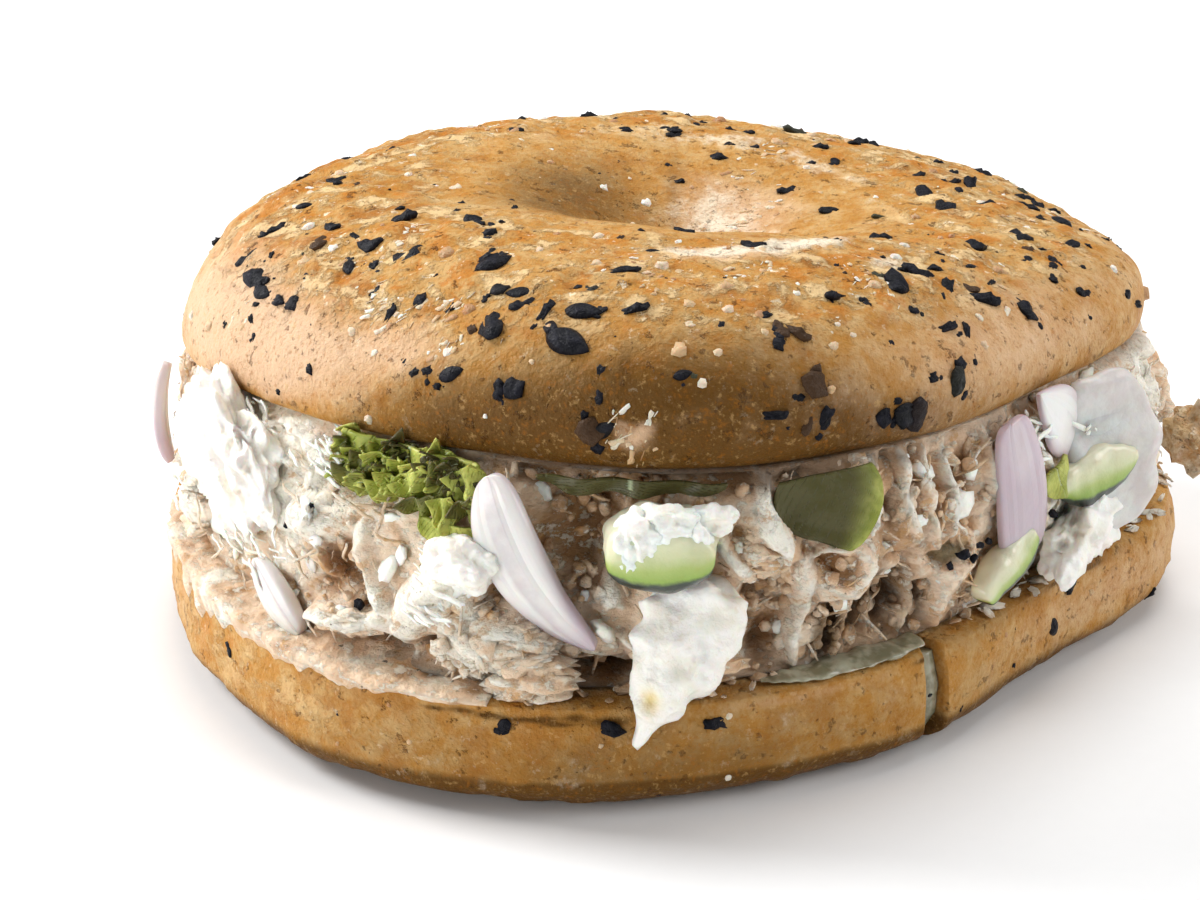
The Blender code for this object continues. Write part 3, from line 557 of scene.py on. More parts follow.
# Mesh making
def skin(rings, first=None, last=None):  # closed rings from the bottom up, with a point at each end
    rings = np.asarray(rings)
    count, sides = rings.shape[:2]
    points = rings.reshape(-1, 3)
    index = np.arange(count * sides).reshape(count, sides)
    after = np.roll(index, -1, axis=1)
    quads = np.stack((index[:-1], after[:-1], after[1:], index[1:]), -1).reshape(-1, 4)
    faces = quads.tolist()
    low, high = len(points), len(points) + 1
    first = rings[0].mean(0) if first is None else first
    last = rings[-1].mean(0) if last is None else last
    faces += [(low, b, a) for a, b in zip(index[0].tolist(), after[0].tolist())]
    faces += [(high, a, b) for a, b in zip(index[-1].tolist(), after[-1].tolist())]
    return np.vstack((points, [first, last])), faces


def buildMesh(name, points, faces, **fields):
    mesh = bpy.data.meshes.new(name)
    mesh.from_pydata(np.asarray(points).tolist(), [], faces)
    for key, values in fields.items():
        layer = mesh.attributes.new(key, "FLOAT", "POINT")
        values = np.asarray(values, float).ravel()
        values = np.append(values, [values[-1]] * (len(points) - len(values)))
        layer.data.foreach_set("value", values.astype(np.float32))
    mesh.shade_smooth()
    return mesh


placed = []


def place(name, mesh, finish, node, slotName):
    points = np.empty(len(mesh.vertices) * 3, np.float32)
    mesh.vertices.foreach_get("co", points)
    points = np.clip(points.reshape(-1, 3), np.array(cadLow) + 1e-5, np.array(cadHigh) - 1e-5)
    mesh.vertices.foreach_set("co", points.astype(np.float32).ravel())
    made = bpy.data.objects.new(name, mesh)
    bpy.context.scene.collection.objects.link(made)
    mesh.materials.clear()
    mesh.materials.append(finish)
    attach(made, "root")
    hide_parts(node)
    placed.append(made)


def joined(parts):  # several (points, faces) as one
    points, faces, shift = [], [], 0
    for some, these in parts:
        points.append(some)
        faces += [tuple(i + shift for i in face) for face in these]
        shift += len(some)
    return np.vstack(points), faces


def gridNormals(grid):
    along = np.roll(grid, -1, 1) - np.roll(grid, 1, 1)
    normals = np.cross(along, np.gradient(grid, axis=0))
    return normals / np.maximum(np.linalg.norm(normals, axis=-1, keepdims=True), 1e-12)


def spot(angle, share, middle, level, halfAngle, halfShare):  # a soft round mark on a side
    aside = (angle - middle + 180) % 360 - 180
    return np.exp(-((aside / halfAngle) ** 2) - ((share - level) / halfShare) ** 2)


def marked(angle, share, marks):  # the sum of marks: strength, then the numbers of a spot
    return sum(strength * spot(angle, share, *where) for strength, *where in marks)


# Bread
def crustDetail(grid, amount):
    normals = gridNormals(grid)
    patch = np.clip(ripple(grid, 9 * mm, 3) * 1.6 + 0.5, 0, 1)
    fold = 1 - np.abs(ripple(grid, 2.6 * mm, 4)) * 2.2
    scab = np.clip(ripple(grid, 5 * mm, 6) * 3 + ripple(grid, 1.8 * mm, 7) - 0.4, 0, 1)
    height = 0.16 * mm * ripple(grid, 3.4 * mm, 2) + 0.16 * mm * patch * fold + 0.32 * mm * scab
    height = height + 0.11 * mm * ripple(grid, 1.3 * mm, 5) * (0.4 + patch)
    return grid + normals * (height * amount)[..., None]


crownCrust = {  # strength, angle, share, half angle and half share of each mark
    "rough": ((0.78, 250, 0.50, 400, 0.20), (0.4, 205, 0.34, 24, 0.08)),
    "pale": (
        (0.95, 207, 0.19, 22, 0.12), (0.40, 194, 0.26, 28, 0.22), (0.45, 232, 0.26, 9, 0.06),
        (0.85, 48, 0.88, 44, 0.11), (0.60, 283, 0.585, 24, 0.030), (0.55, 318, 0.20, 36, 0.20),
        (0.70, 264.0, 0.085, 1.7, 0.020), (0.60, 265.6, 0.104, 1.3, 0.018),
        (0.45, 263.0, 0.112, 1.1, 0.014), (0.30, 60, 0.25, 80, 0.2),
    ),
    # dark: mostly painted shade, under the front of the rim's roll and on the dimple's inner walls that face
    # away from the lights
    "dark": (
        (1.15, 268, 0.02, 36, 0.15), (0.62, 268, 0.22, 24, 0.13), (0.30, 300, 0.05, 40, 0.10),
        (0.25, 256, 0.40, 20, 0.08), (0.36, 238, 0.10, 14, 0.12), (0.45, 263.2, 0.16, 0.7, 0.10),
        (0.72, 160, 0.86, 66, 0.13), (0.40, 225, 0.78, 40, 0.08), (0.35, 88, 0.86, 6, 0.14),
    ),
    "white": (
        (0.62, 46, 0.89, 44, 0.075), (0.35, 70, 0.66, 60, 0.05), (0.95, 290, 0.61, 26, 0.026),
        (0.5, 310, 0.50, 10, 0.03),
    ),
    "plain": 0.22,  # how rough the smooth parts are
    "spokes": 556,
    "rimRings": 14,
    "topRings": 156,
}


def buildCrown(finish):
    spokes = np.linspace(0, 360, crownCrust["spokes"], endpoint=False)
    shares = np.concatenate((
        np.linspace(0, crown["rim"], crownCrust["rimRings"], endpoint=False),
        np.linspace(crown["rim"], 0.985, crownCrust["topRings"])))[:, None]
    grid = crownTop(spokes, shares)
    rough = crownCrust["plain"] + marked(spokes, shares, crownCrust["rough"])
    amount = rough * np.minimum(1, shares / 0.05) * np.minimum(1, (1 - shares) / 0.04)
    grid = crustDetail(grid, amount * 1.5)
    cutShares = np.array((0.2, 0.5, 0.75, 0.88, 0.95, 0.985))[:, None]
    edge = grid[0]
    under = edge[None] * np.array((1, 1, 0)) * cutShares[..., None]
    under[..., 2] = -0.10 * mm * np.abs(ripple(under, 2 * mm, 1))
    points, faces = skin(np.concatenate((under, grid)), np.zeros(3), np.array((0, 0, crown["floor"])))
    level = np.concatenate((np.full(cutShares.shape, -1.0), shares))
    cut = np.broadcast_to(np.clip(1 - (level + 0.002) / 0.006, 0, 1), (len(level), len(spokes)))
    fields = {key: marked(spokes, level, crownCrust[key]) for key in ("rough", "pale", "dark", "white")}
    fields["rough"] = fields["rough"] + crownCrust["plain"]
    mesh = buildMesh("bagelCrown", moved(points, crownPlace), faces, crumb=cut, **fields)
    place("bagelCrown", mesh, finish, "bagel_crown", "crust")


def splitNotch(points):  # the open split in the rim of the lower half
    angle = np.degrees(np.arctan2(points[..., 1], points[..., 0]))
    radius = np.hypot(points[..., 0], points[..., 1])
    aside = (angle - heel["splitAngle"] + 180) % 360 - 180
    across = np.abs(np.radians(aside) * radius)
    deep = heel["splitDepth"] * np.maximum(0, 1 - across / (heel["splitWidth"] / 2))
    limit = np.where(deep > 0, around(heel["reach"], angle) - deep, radius)
    scale = np.minimum(radius, limit) / np.maximum(radius, 1e-9)
    points[..., 0] *= scale
    points[..., 1] *= scale
    return points


heelCrust = {  # as for the crown's crust
    "rough": ((0.4, 215, 0.7, 50, 0.4),),
    "pale": (
        (0.35, 192, 0.80, 24, 0.5), (0.45, 340, 0.7, 30, 0.3), (0.25, 60, 0.5, 60, 0.5),
        (0.35, 285, 0.95, 16, 0.05),
    ),
    # dark: a darker front, partly painted shade as it faces away from the lights, and painted shade under the
    # salad's edge along the rim
    "dark": (
        (0.42, 262, 0.45, 30, 0.6), (0.22, 285, 0.5, 60, 0.6), (0.55, 258, 1.06, 22, 0.05),
        (0.45, 330, 0.99, 26, 0.10),
    ),
    "white": ((0.12, 268, 0.5, 50, 0.6),),
    "plain": 0.20,
    "spokes": 470,
    "rings": 92,
}
rimShadeMarks = (  # angle, share, half angle and half share of small dark marks under the rim: painted shade where the salad overhangs it
    (250.4, 0.935, 1.3, 0.022), (253.4, 0.925, 1.6, 0.016), (255.8, 0.93, 1.4, 0.024),
    (258.8, 0.945, 1.0, 0.024), (257.2, 0.90, 1.4, 0.014), (262.2, 0.92, 2.0, 0.030),
    (247.6, 0.95, 1.2, 0.020), (244.8, 0.94, 1.0, 0.016), (266.4, 0.95, 1.0, 0.016),
    (300.5, 0.97, 1.4, 0.018), (331, 0.97, 2.4, 0.020), (337, 0.96, 2.0, 0.024),
)


def buildHeel(finish):
    middle = heel["splitAngle"]
    close = np.linspace(middle - 2.6, middle + 2.6, 36)
    spokes = np.linspace(0, 360, heelCrust["spokes"], endpoint=False)
    spokes = np.sort(np.concatenate((spokes[np.abs(spokes - middle) > 2.7], close)))
    shares = np.linspace(0, 1, heelCrust["rings"])[:, None]
    grid = heelSide(spokes, shares)
    grid = crustDetail(grid, 0.8 * np.sin(np.clip(shares, 0, 1) * np.pi) ** 0.4 * np.ones(len(spokes)))
    grid[..., 2] = np.maximum(grid[..., 2], 0)
    foot = grid[0] * np.array((0.3, 0.6, 0.85, 0.96))[:, None, None]
    foot[..., 2] = 0
    inner = np.array((0.985, 0.96, 0.93, 0.90, 0.8, 0.6, 0.3))[:, None, None]
    top = grid[-1] * inner
    top[..., 2] = heelCut(top[..., 0]) - 0.12 * mm * np.abs(ripple(top, 1.8 * mm, 2))
    rings = splitNotch(np.concatenate((foot, grid, top)))
    points, faces = skin(rings, np.zeros(3), np.array((0, 0, heel["middle"])))
    beyond = np.array((1.01, 1.03, 1.05, 1.08, 1.2, 1.2, 1.2))[:, None]  # on the cut
    level = np.concatenate((np.full((4, 1), -0.05), shares, beyond))
    cut = np.broadcast_to(np.clip((level - 1.03) / 0.04, 0, 1), rings.shape[:2])
    fields = {key: marked(spokes, level, heelCrust[key]) for key in ("rough", "pale", "dark", "white")}
    fields["rough"] = fields["rough"] + heelCrust["plain"]
    # painted contact shadow: darker towards the foot, most at the front
    shaded = np.clip((0.49 - level) / 0.16, 0, 1) * (0.2 + 0.8 * spot(spokes, 0, 270, 0, 70, 1))
    shadeUnderSalad = sum(0.8 * spot(spokes, level, *shadeMark) for shadeMark in rimShadeMarks)
    fields["dark"] = fields["dark"] + 1.5 * shaded + shadeUnderSalad
    mesh = buildMesh("bagelHeel", points, faces, crumb=cut, **fields)
    place("bagelHeel", mesh, finish, "bagel_heel", "crust")


# Things scattered over a surface
def scatterTree(name):  # copies of a collection's shapes on the points of a mesh
    tree = bpy.data.node_groups.new(name, "GeometryNodeTree")
    socket = tree.interface.new_socket
    socket(name="Geometry", in_out="INPUT", socket_type="NodeSocketGeometry")
    for label, kind in (("Shapes", "Collection"), ("Finish", "Material"), ("Smallest", "Float"),
                        ("Largest", "Float"), ("Seed", "Int")):
        socket(name=label, in_out="INPUT", socket_type="NodeSocket" + kind)
    socket(name="Geometry", in_out="OUTPUT", socket_type="NodeSocketGeometry")

    def node(kind, settings, sockets):
        made = tree.nodes.new(kind)
        for key, value in settings.items():
            setattr(made, key, value)
        for key, value in sockets.items():
            if isinstance(value, bpy.types.NodeSocket):
                tree.links.new(value, made.inputs[key])
            else:
                made.inputs[key].default_value = value
        return made

    given = node("NodeGroupInput", {}, {}).outputs
    vector = {"data_type": "FLOAT_VECTOR"}
    facing = node("GeometryNodeInputNamedAttribute", vector, {"Name": "facing"}).outputs[0]
    heading = node("GeometryNodeInputNamedAttribute", vector, {"Name": "heading"}).outputs[0]
    size = node("GeometryNodeInputNamedAttribute", vector, {"Name": "size"}).outputs[0]
    turned = node("FunctionNodeAxesToRotation", {"primary_axis": "Z", "secondary_axis": "X"},
                  {"Primary Axis": facing, "Secondary Axis": heading}).outputs[0]
    chance = node("FunctionNodeRandomValue", {"data_type": "FLOAT"},
                  {"Seed": given["Seed"], 2: given["Smallest"], 3: given["Largest"]}).outputs[1]
    scale = node("ShaderNodeVectorMath", {"operation": "SCALE"}, {0: size, "Scale": chance}).outputs[0]
    pick = node("FunctionNodeRandomValue", {"data_type": "INT"},
                {"Seed": given["Seed"], 4: 0, 5: 99}).outputs[2]
    shapes = node("GeometryNodeCollectionInfo", {},
                  {"Collection": given["Shapes"], "Separate Children": True, "Reset Children": True})
    copies = node("GeometryNodeInstanceOnPoints", {}, {
        "Points": given["Geometry"], "Instance": shapes.outputs[0], "Pick Instance": True,
        "Instance Index": pick, "Rotation": turned, "Scale": scale})
    tone = node("FunctionNodeRandomValue", {"data_type": "FLOAT"}, {"Seed": given["Seed"]}).outputs[1]
    toned = node("GeometryNodeStoreNamedAttribute", {"data_type": "FLOAT", "domain": "INSTANCE"},
                 {"Geometry": copies.outputs[0], "Name": "tone", "Value": tone})
    real = node("GeometryNodeRealizeInstances", {}, {"Geometry": toned.outputs[0]})
    painted = node("GeometryNodeSetMaterial", {},
                   {"Geometry": real.outputs[0], "Material": given["Finish"]})
    node("NodeGroupOutput", {}, {"Geometry": painted.outputs[0]})
    return tree


def scattered(name, spots, shapes, finish, node, slotName, sizes, seed, keep=None, tint=None):
    mesh = bpy.data.meshes.new(name)
    mesh.from_pydata([here["at"] for here in spots], [], [])
    for key in ("facing", "heading", "size"):
        layer = mesh.attributes.new(key, "FLOAT_VECTOR", "POINT")
        layer.data.foreach_set("vector", np.array([here[key] for here in spots], np.float32).ravel())
    holder = bpy.data.objects.new(name + "Spots", mesh)
    bpy.context.scene.collection.objects.link(holder)
    group = bpy.data.collections.new(name + "Shapes")
    bpy.context.scene.collection.children.link(group)
    for number, shape in enumerate(shapes):
        group.objects.link(bpy.data.objects.new(f"{name}Shape{number}", shape))
    tree = scatterTree(name + "Tree")
    step = holder.modifiers.new("scatter", "NODES")
    step.node_group = tree
    given = {"Shapes": group, "Finish": finish, "Smallest": sizes[0], "Largest": sizes[1], "Seed": seed}
    for item in tree.interface.items_tree:
        if item.in_out == "INPUT" and item.name in given:
            step[item.identifier] = given[item.name]
    graph = bpy.context.evaluated_depsgraph_get()
    result = bpy.data.meshes.new_from_object(holder.evaluated_get(graph))
    bpy.data.objects.remove(holder)
    for shape in list(group.objects):
        bpy.data.objects.remove(shape)
    bpy.data.collections.remove(group)
    bpy.data.node_groups.remove(tree)
    if keep:
        points = np.empty(len(result.vertices) * 3, np.float32)
        result.vertices.foreach_get("co", points)
        points = keep(points.reshape(-1, 3).astype(float))
        result.vertices.foreach_set("co", points.astype(np.float32).ravel())
    if tint:
        tint(result)
    result.shade_smooth()
    print(f"{name}: {len(spots)} copies, {len(result.polygons)} faces")
    place(name, result, finish, node, slotName)


def crustFrame(surface, angle, share, heading):
    at = surface(angle, share)
    along = surface(angle + 0.5, share) - at
    along /= np.linalg.norm(along)
    inward = surface(angle, min(0.999, share + 0.01)) - at
    normal = np.cross(along, inward)
    normal /= np.linalg.norm(normal)
    turn = math.radians(heading)
    return at, normal, math.cos(turn) * along + math.sin(turn) * np.cross(normal, along)


crownSeeds = (  # the large dark ones: angle, share, heading, length
    (256, 0.29, -20, 5.2), (245, 0.31, -55, 4.4), (252, 0.36, 80, 3.4), (257, 0.37, 0, 4.0),
    (264, 0.38, 15, 3.4), (211, 0.47, 20, 4.2), (205, 0.56, 35, 4.6), (202, 0.43, -30, 3.4),
    (193, 0.34, 70, 3.2), (200, 0.31, -10, 4.8), (208, 0.35, 30, 3.6), (228, 0.57, -10, 4.4),
    (236, 0.49, 30, 3.6), (261, 0.50, 10, 4.0), (238, 0.21, 20, 3.4), (250, 0.18, 80, 3.4),
    (261, 0.10, 30, 3.4), (292, 0.40, 25, 4.6), (305, 0.42, 60, 4.4), (313, 0.45, -60, 3.8),
    (315, 0.39, 40, 3.4), (320, 0.33, -35, 5.0), (308, 0.29, 0, 3.6), (284, 0.31, -50, 3.6),
    (285, 0.19, 0, 3.8), (286, 0.10, 80, 4.0), (280, 0.12, 0, 3.2), (306, 0.15, 85, 4.2),
    (297, 0.09, 10, 4.6), (340, 0.50, -25, 4.8), (8, 0.40, 20, 4.4), (25, 0.50, -30, 4.0),
    (65, 0.52, 40, 4.0), (105, 0.52, 10, 3.6), (199, 0.32, -20, 2.4), (203, 0.29, 0, 3.2),
    (207, 0.29, 0, 2.8), (210, 0.30, 10, 2.6), (213, 0.335, 45, 3.4), (197, 0.37, -50, 2.4),
    (213, 0.41, -40, 3.0), (217, 0.43, -45, 2.8), (221, 0.47, 35, 4.2), (221, 0.60, -30, 4.4),
    (238, 0.48, 60, 4.2), (162, 0.42, 0, 3.0), (243, 0.405, 80, 3.2), (250, 0.44, 20, 2.4),
    (248, 0.37, 30, 3.3), (228, 0.325, 80, 3.2), (237, 0.35, 30, 1.8), (206, 0.20, 60, 1.6),
    (213, 0.11, 0, 1.6), (199, 0.20, 60, 1.4), (236, 0.205, 40, 3.2), (241, 0.205, 20, 3.0),
    (234, 0.22, 50, 1.6), (248, 0.175, 80, 2.6), (260.5, 0.22, 85, 2.2), (260.5, 0.17, 85, 1.8),
    (259.5, 0.10, 40, 3.8), (102, 0.66, 0, 2.6), (86, 0.83, 0, 2.3), (72, 0.68, 30, 2.4),
    (75, 0.60, 0, 2.4), (66, 0.67, 0, 2.4), (10, 0.59, -20, 4.2), (352, 0.47, -30, 5.0),
    (342, 0.41, 0, 2.0), (355, 0.38, -30, 3.0), (340, 0.33, 30, 2.0), (342, 0.26, -30, 2.6),
    (326, 0.37, 0, 2.2), (327, 0.27, -20, 4.2), (328, 0.225, 30, 2.2), (281.5, 0.29, -30, 2.2),
    (297, 0.38, 60, 2.0), (304, 0.35, 60, 2.0), (294, 0.09, 20, 3.2), (299, 0.085, 85, 4.0),
    (296, 0.12, 0, 1.6), (302, 0.17, 0, 2.2), (310, 0.19, 60, 1.6), (311, 0.27, 60, 2.8),
    (269.8, 0.225, 20, 2.0),
)
heelSeeds = (
    (273.4, 0.86, -6, 4.2), (251.8, 0.87, 55, 2.8), (262.6, 0.87, -20, 3.2), (333, 0.88, 20, 3.0),
)
seeds = {
    "length": 3.2,
    "crown": 122,
    "heel": 12,
    "spacing": 4.6 * mm,
    "smallOnCrown": 260,
    "smallOnHeel": 26,
    "grainsOnCrown": 420,
    "grainsOnHeel": 60,
}


def seedSpots(draw, count, surface, lowest, highest, large):
    found = [(*crustFrame(surface, *where), length) for *where, length in large]
    while len(found) < count:
        share = lowest + (highest - lowest) * draw.random()
        angle = 360 * draw.random()
        heading = 360 * draw.random()
        at = surface(angle, share)
        if math.hypot(at[0], at[1]) < draw.random() * around(crown["reach"], angle):
            continue
        if surface == crownTop and 188 < angle < 352 and share < 0.6:  # the list holds those in front
            continue
        if all(np.linalg.norm(at - other[0]) > seeds["spacing"] for other in found):
            length = seeds["length"] * (0.65 + 0.45 * draw.random())
            found.append((*crustFrame(surface, angle, share, heading), length))
    return found


def smallSpots(draw, count, surface, lowest, highest, smallest, largest, favour=None, apart=1.0 * mm):
    found = []
    while len(found) < count:
        share = lowest + (highest - lowest) * draw.random()
        angle = 360 * draw.random()
        if favour and draw.random() > favour(angle, share):
            continue
        frameHere = crustFrame(surface, angle, share, 360 * draw.random())
        if all(np.linalg.norm(frameHere[0] - other[0]) > apart for other in found):
            found.append((*frameHere, smallest + (largest - smallest) * draw.random() ** 2))
    return found


def flakeShape(name, sides, salt, jag, thick=0.30, width=0.6):  # a flat ragged flake, 1 long
    draw = random.Random(salt + 70)
    lean = draw.uniform(-0.5, 0.5)
    outline = []
    for k in range(sides):
        turn = 2 * math.pi * (k + 0.5 * draw.random()) / sides
        reach = 0.5 * (1 - jag * draw.random() ** 0.7)
        x, y = (math.copysign(abs(v) ** 0.7, v) * reach for v in (math.cos(turn), math.sin(turn)))
        outline.append((x, width * (y + lean * x * x)))
    rings = []
    for level, spread in ((-0.3, 0.8), (0.1, 1.0), (0.40, 0.93), (0.62, 0.55)):
        wave = [0.10 * math.sin(5 * x + salt) + 0.16 * thick * draw.uniform(-1, 1) for x, _ in outline]
        rings.append([(x * spread, y * spread, thick * level + b) for (x, y), b in zip(outline, wave)])
    return buildMesh(name, *skin(rings))


def dropShape(name):  # a smooth seed, pointed at one end, 1 long
    rings = []
    for k in range(1, 8):
        along = -0.5 + k / 8
        girth = math.sin(math.pi * k / 8) ** 0.7 * (1 - 0.45 * along)
        ring = [(along, 0.27 * girth * math.sin(t), 0.17 * girth * math.cos(t) + 0.05)
                for t in np.linspace(0, 2 * np.pi, 9)[:-1]]
        rings.append(ring[::-1])
    return buildMesh(name, *skin(rings, (-0.5, 0, 0.05), (0.5, 0, 0.05)))


def crumbShape(name, salt, tiers=5, sides=7):  # an uneven grain, 1 across
    rings = []
    for k in range(1, tiers):
        tilt = math.pi * k / tiers
        ring = []
        for turn in np.linspace(0, 2 * np.pi, sides + 1)[:-1]:
            out = math.sin(tilt)
            point = Vector((out * math.cos(turn), out * math.sin(turn), -math.cos(tilt)))
            ring.append(point * 0.5 * (1 + 0.5 * noise.noise(point * 1.6 + Vector((salt, 0, 0)))))
        rings.append(ring)
    return buildMesh(name, *skin(rings, (0, 0, -0.5), (0, 0, 0.5)))


def brokenOff(draw, large):  # chips that lie against the large seeds
    chips = []
    for angle, share, heading, length in large:
        for _ in range(draw.choice((0, 1, 1, 2))):
            reach, turn = length * draw.uniform(0.35, 0.6), math.radians(360 * draw.random())
            where = (angle + reach * math.cos(turn) / 0.8, share + reach * math.sin(turn) / 45)
            frameHere = crustFrame(crownTop, *where, heading + draw.uniform(-60, 60))
            chips.append((*frameHere, length * draw.uniform(0.3, 0.6)))
    return chips


def asSpots(found, flat=1.0, place=None, sink=0.0):
    spots = []
    for at, normal, heading, length in found:
        at = at - normal * sink * mm
        if place is not None:
            matrix = np.array(place)[:3, :3]
            at, normal, heading = moved(at, place), matrix @ normal, matrix @ heading
        size = (length * mm, length * mm, length * mm * flat)
        spots.append({"at": at, "facing": normal, "heading": heading, "size": size})
    return spots


whiteGrains = (  # angle, share, size of those that stand out
    (276, 0.385, 1.4), (278.5, 0.415, 1.0), (271, 0.35, 1.6), (269.5, 0.285, 1.8), (274, 0.28, 1.1),
    (280, 0.32, 1.1), (288.5, 0.27, 1.2), (272, 0.205, 1.2), (287, 0.17, 1.1), (279.5, 0.14, 0.9),
    (313, 0.22, 1.3), (316, 0.295, 2.2), (255, 0.28, 1.6), (240, 0.25, 2.2), (238, 0.23, 1.6),
)


palePatches = (  # angle, share, reach in mm and how many pale flakes
    (264.5, 0.095, 2.6, 40), (239, 0.245, 2.0, 40), (227, 0.33, 3.4, 50), (224, 0.38, 3.0, 40),
    (246, 0.30, 1.6, 6), (80, 0.44, 3.0, 30), (62, 0.66, 5.0, 50), (284, 0.55, 4.0, 40),
    (200, 0.25, 3.0, 24), (215, 0.48, 4.0, 50), (40, 0.90, 6.0, 60), (236, 0.38, 4.0, 40),
    (262, 0.52, 5.0, 40), (300, 0.50, 5.0, 40), (130, 0.50, 6.0, 40), (330, 0.45, 6.0, 40),
    (10, 0.40, 6.0, 40), (170, 0.40, 6.0, 40),
)


def topFavour(angle, share):  # small seeds and grains lie thickest on the ridge
    more = 0.16 + 0.9 * math.exp(-(((share - 0.46) / 0.16) ** 2))
    return more * (0.35 if 255 < angle < 335 and share < 0.28 else 1)


saladSpecks = (  # angle, share, size of dark bits on the salad
    (213.5, 0.76, 1.7), (233.6, 0.26, 1.5), (305, 0.46, 1.7), (306.5, 0.43, 1.4), (308, 0.47, 1.2),
    (303.4, 0.41, 1.3), (328, 0.36, 1.6), (331, 0.42, 1.0), (250.5, 0.30, 0.9), (221, 0.50, 0.8),
    (226, 0.68, 0.9), (296, 0.50, 1.0), (312, 0.42, 1.1), (335, 0.08, 1.8), (348, 0.22, 1.2),
    (40, 0.60, 1.4), (75, 0.30, 1.6), (95, 0.60, 1.3), (130, 0.70, 1.5), (160, 0.45, 1.4),
)


def buildSpecks(finish):
    draw = random.Random(41)
    spots = []
    for angle, share, size in saladSpecks:
        lift = float(saladBulge(angle, share) - saladHollow(angle, share)) + 0.4 * mm
        heading = Vector((draw.gauss(0, 1), draw.gauss(0, 1), draw.gauss(0, 1)))
        spots.append({"at": saladSide(angle, share) + polar(angle, lift, 0.0),
                      "facing": polar(angle, 1.0, 0.3), "heading": heading, "size": (size * mm,) * 3})
    shapes = [flakeShape(f"saladSpeck{k}", 11, 90 + k, 0.35, 0.5, 0.8) for k in range(4)]
    scattered("saladSpecks", spots, shapes, finish, "tuna_salad", "crust", (0.9, 1.1), 17)


def buildSeeds(finish, paleFinish):
    buildSpecks(finish)
    onCrown, onHeel = ("bagel_crown", "crust"), ("bagel_heel", "crust")
    widths = (0.75, 0.5, 0.9, 0.42, 0.65, 0.8, 0.55, 0.35, 0.7)
    shapes = [flakeShape(f"blackFlake{k}", 11 + k % 4, k, 0.30 + 0.06 * (k % 4), 0.30, width)
              for k, width in enumerate(widths)] + [dropShape("blackDrop")]
    draw = random.Random(5)
    crownSpots = seedSpots(draw, seeds["crown"], crownTop, 0.12, 0.80, crownSeeds)
    heelSpots = seedSpots(draw, seeds["heel"], heelSide, 0.35, 0.75, heelSeeds)
    small = random.Random(21)
    crownSpots += brokenOff(small, crownSeeds)
    crownSpots += smallSpots(small, seeds["smallOnCrown"], crownTop, 0.06, 0.84, 0.5, 3.0, topFavour)
    heelSpots += smallSpots(small, seeds["smallOnHeel"], heelSide, 0.3, 0.95, 0.5, 1.6)
    spots = asSpots(crownSpots, 0.8, crownPlace, 0.1)
    scattered("crownSeeds", spots, shapes, finish, *onCrown, (0.85, 1.1), 3)
    spots = asSpots(heelSpots, 0.8, None, 0.1)
    scattered("heelSeeds", spots, shapes, finish, *onHeel, (0.85, 1.1), 4)
    grains = [crumbShape(f"paleGrain{k}", 3.1 * k) for k in range(5)]
    grains += [flakeShape(f"paleFlake{k}", 8, 40 + k, 0.3, 0.3, 0.7) for k in range(3)]
    found = [(*crustFrame(crownTop, a, s, 40 * s), size) for a, s, size in whiteGrains]
    flakes = []
    for angle, share, reach, count in palePatches:
        for _ in range(count):
            where = (angle + small.gauss(0, 0.5) * reach / 0.8, share + small.gauss(0, 0.5) * reach / 45)
            frameHere = crustFrame(crownTop, *where, 20 + 70 * small.random())
            flakes.append((*frameHere, small.uniform(0.8, 2.6)))
    thin = [strandShape(f"paleShred{k}", 2.1 * k) for k in range(5)]
    thin += [flakeShape(f"paleChip{k}", 9, 60 + k, 0.4, 0.25, 0.4) for k in range(4)]
    spots = asSpots(flakes, 0.5, crownPlace, 0.02)
    scattered("crownShreds", spots, thin, paleFinish, *onCrown, (0.7, 1.1), 11)
    found += smallSpots(small, seeds["grainsOnCrown"], crownTop, 0.04, 0.92, 0.4, 2.0, topFavour, 0.5 * mm)
    large = [seed[0] for seed in crownSpots[:90]]
    found = [grain for grain in found if all(np.linalg.norm(grain[0] - at) > 1.7 * mm for at in large)]
    spots = asSpots(found, 0.7, crownPlace, 0.1)
    scattered("crownGrains", spots, grains, paleFinish, *onCrown, (0.8, 1.1), 5)
    found = smallSpots(small, seeds["grainsOnHeel"], heelSide, 0.3, 0.95, 0.4, 1.4, None, 0.5 * mm)
    spots = asSpots(found, 0.7, None, 0.1)
    scattered("heelGrains", spots, grains, paleFinish, *onHeel, (0.8, 1.1), 6)


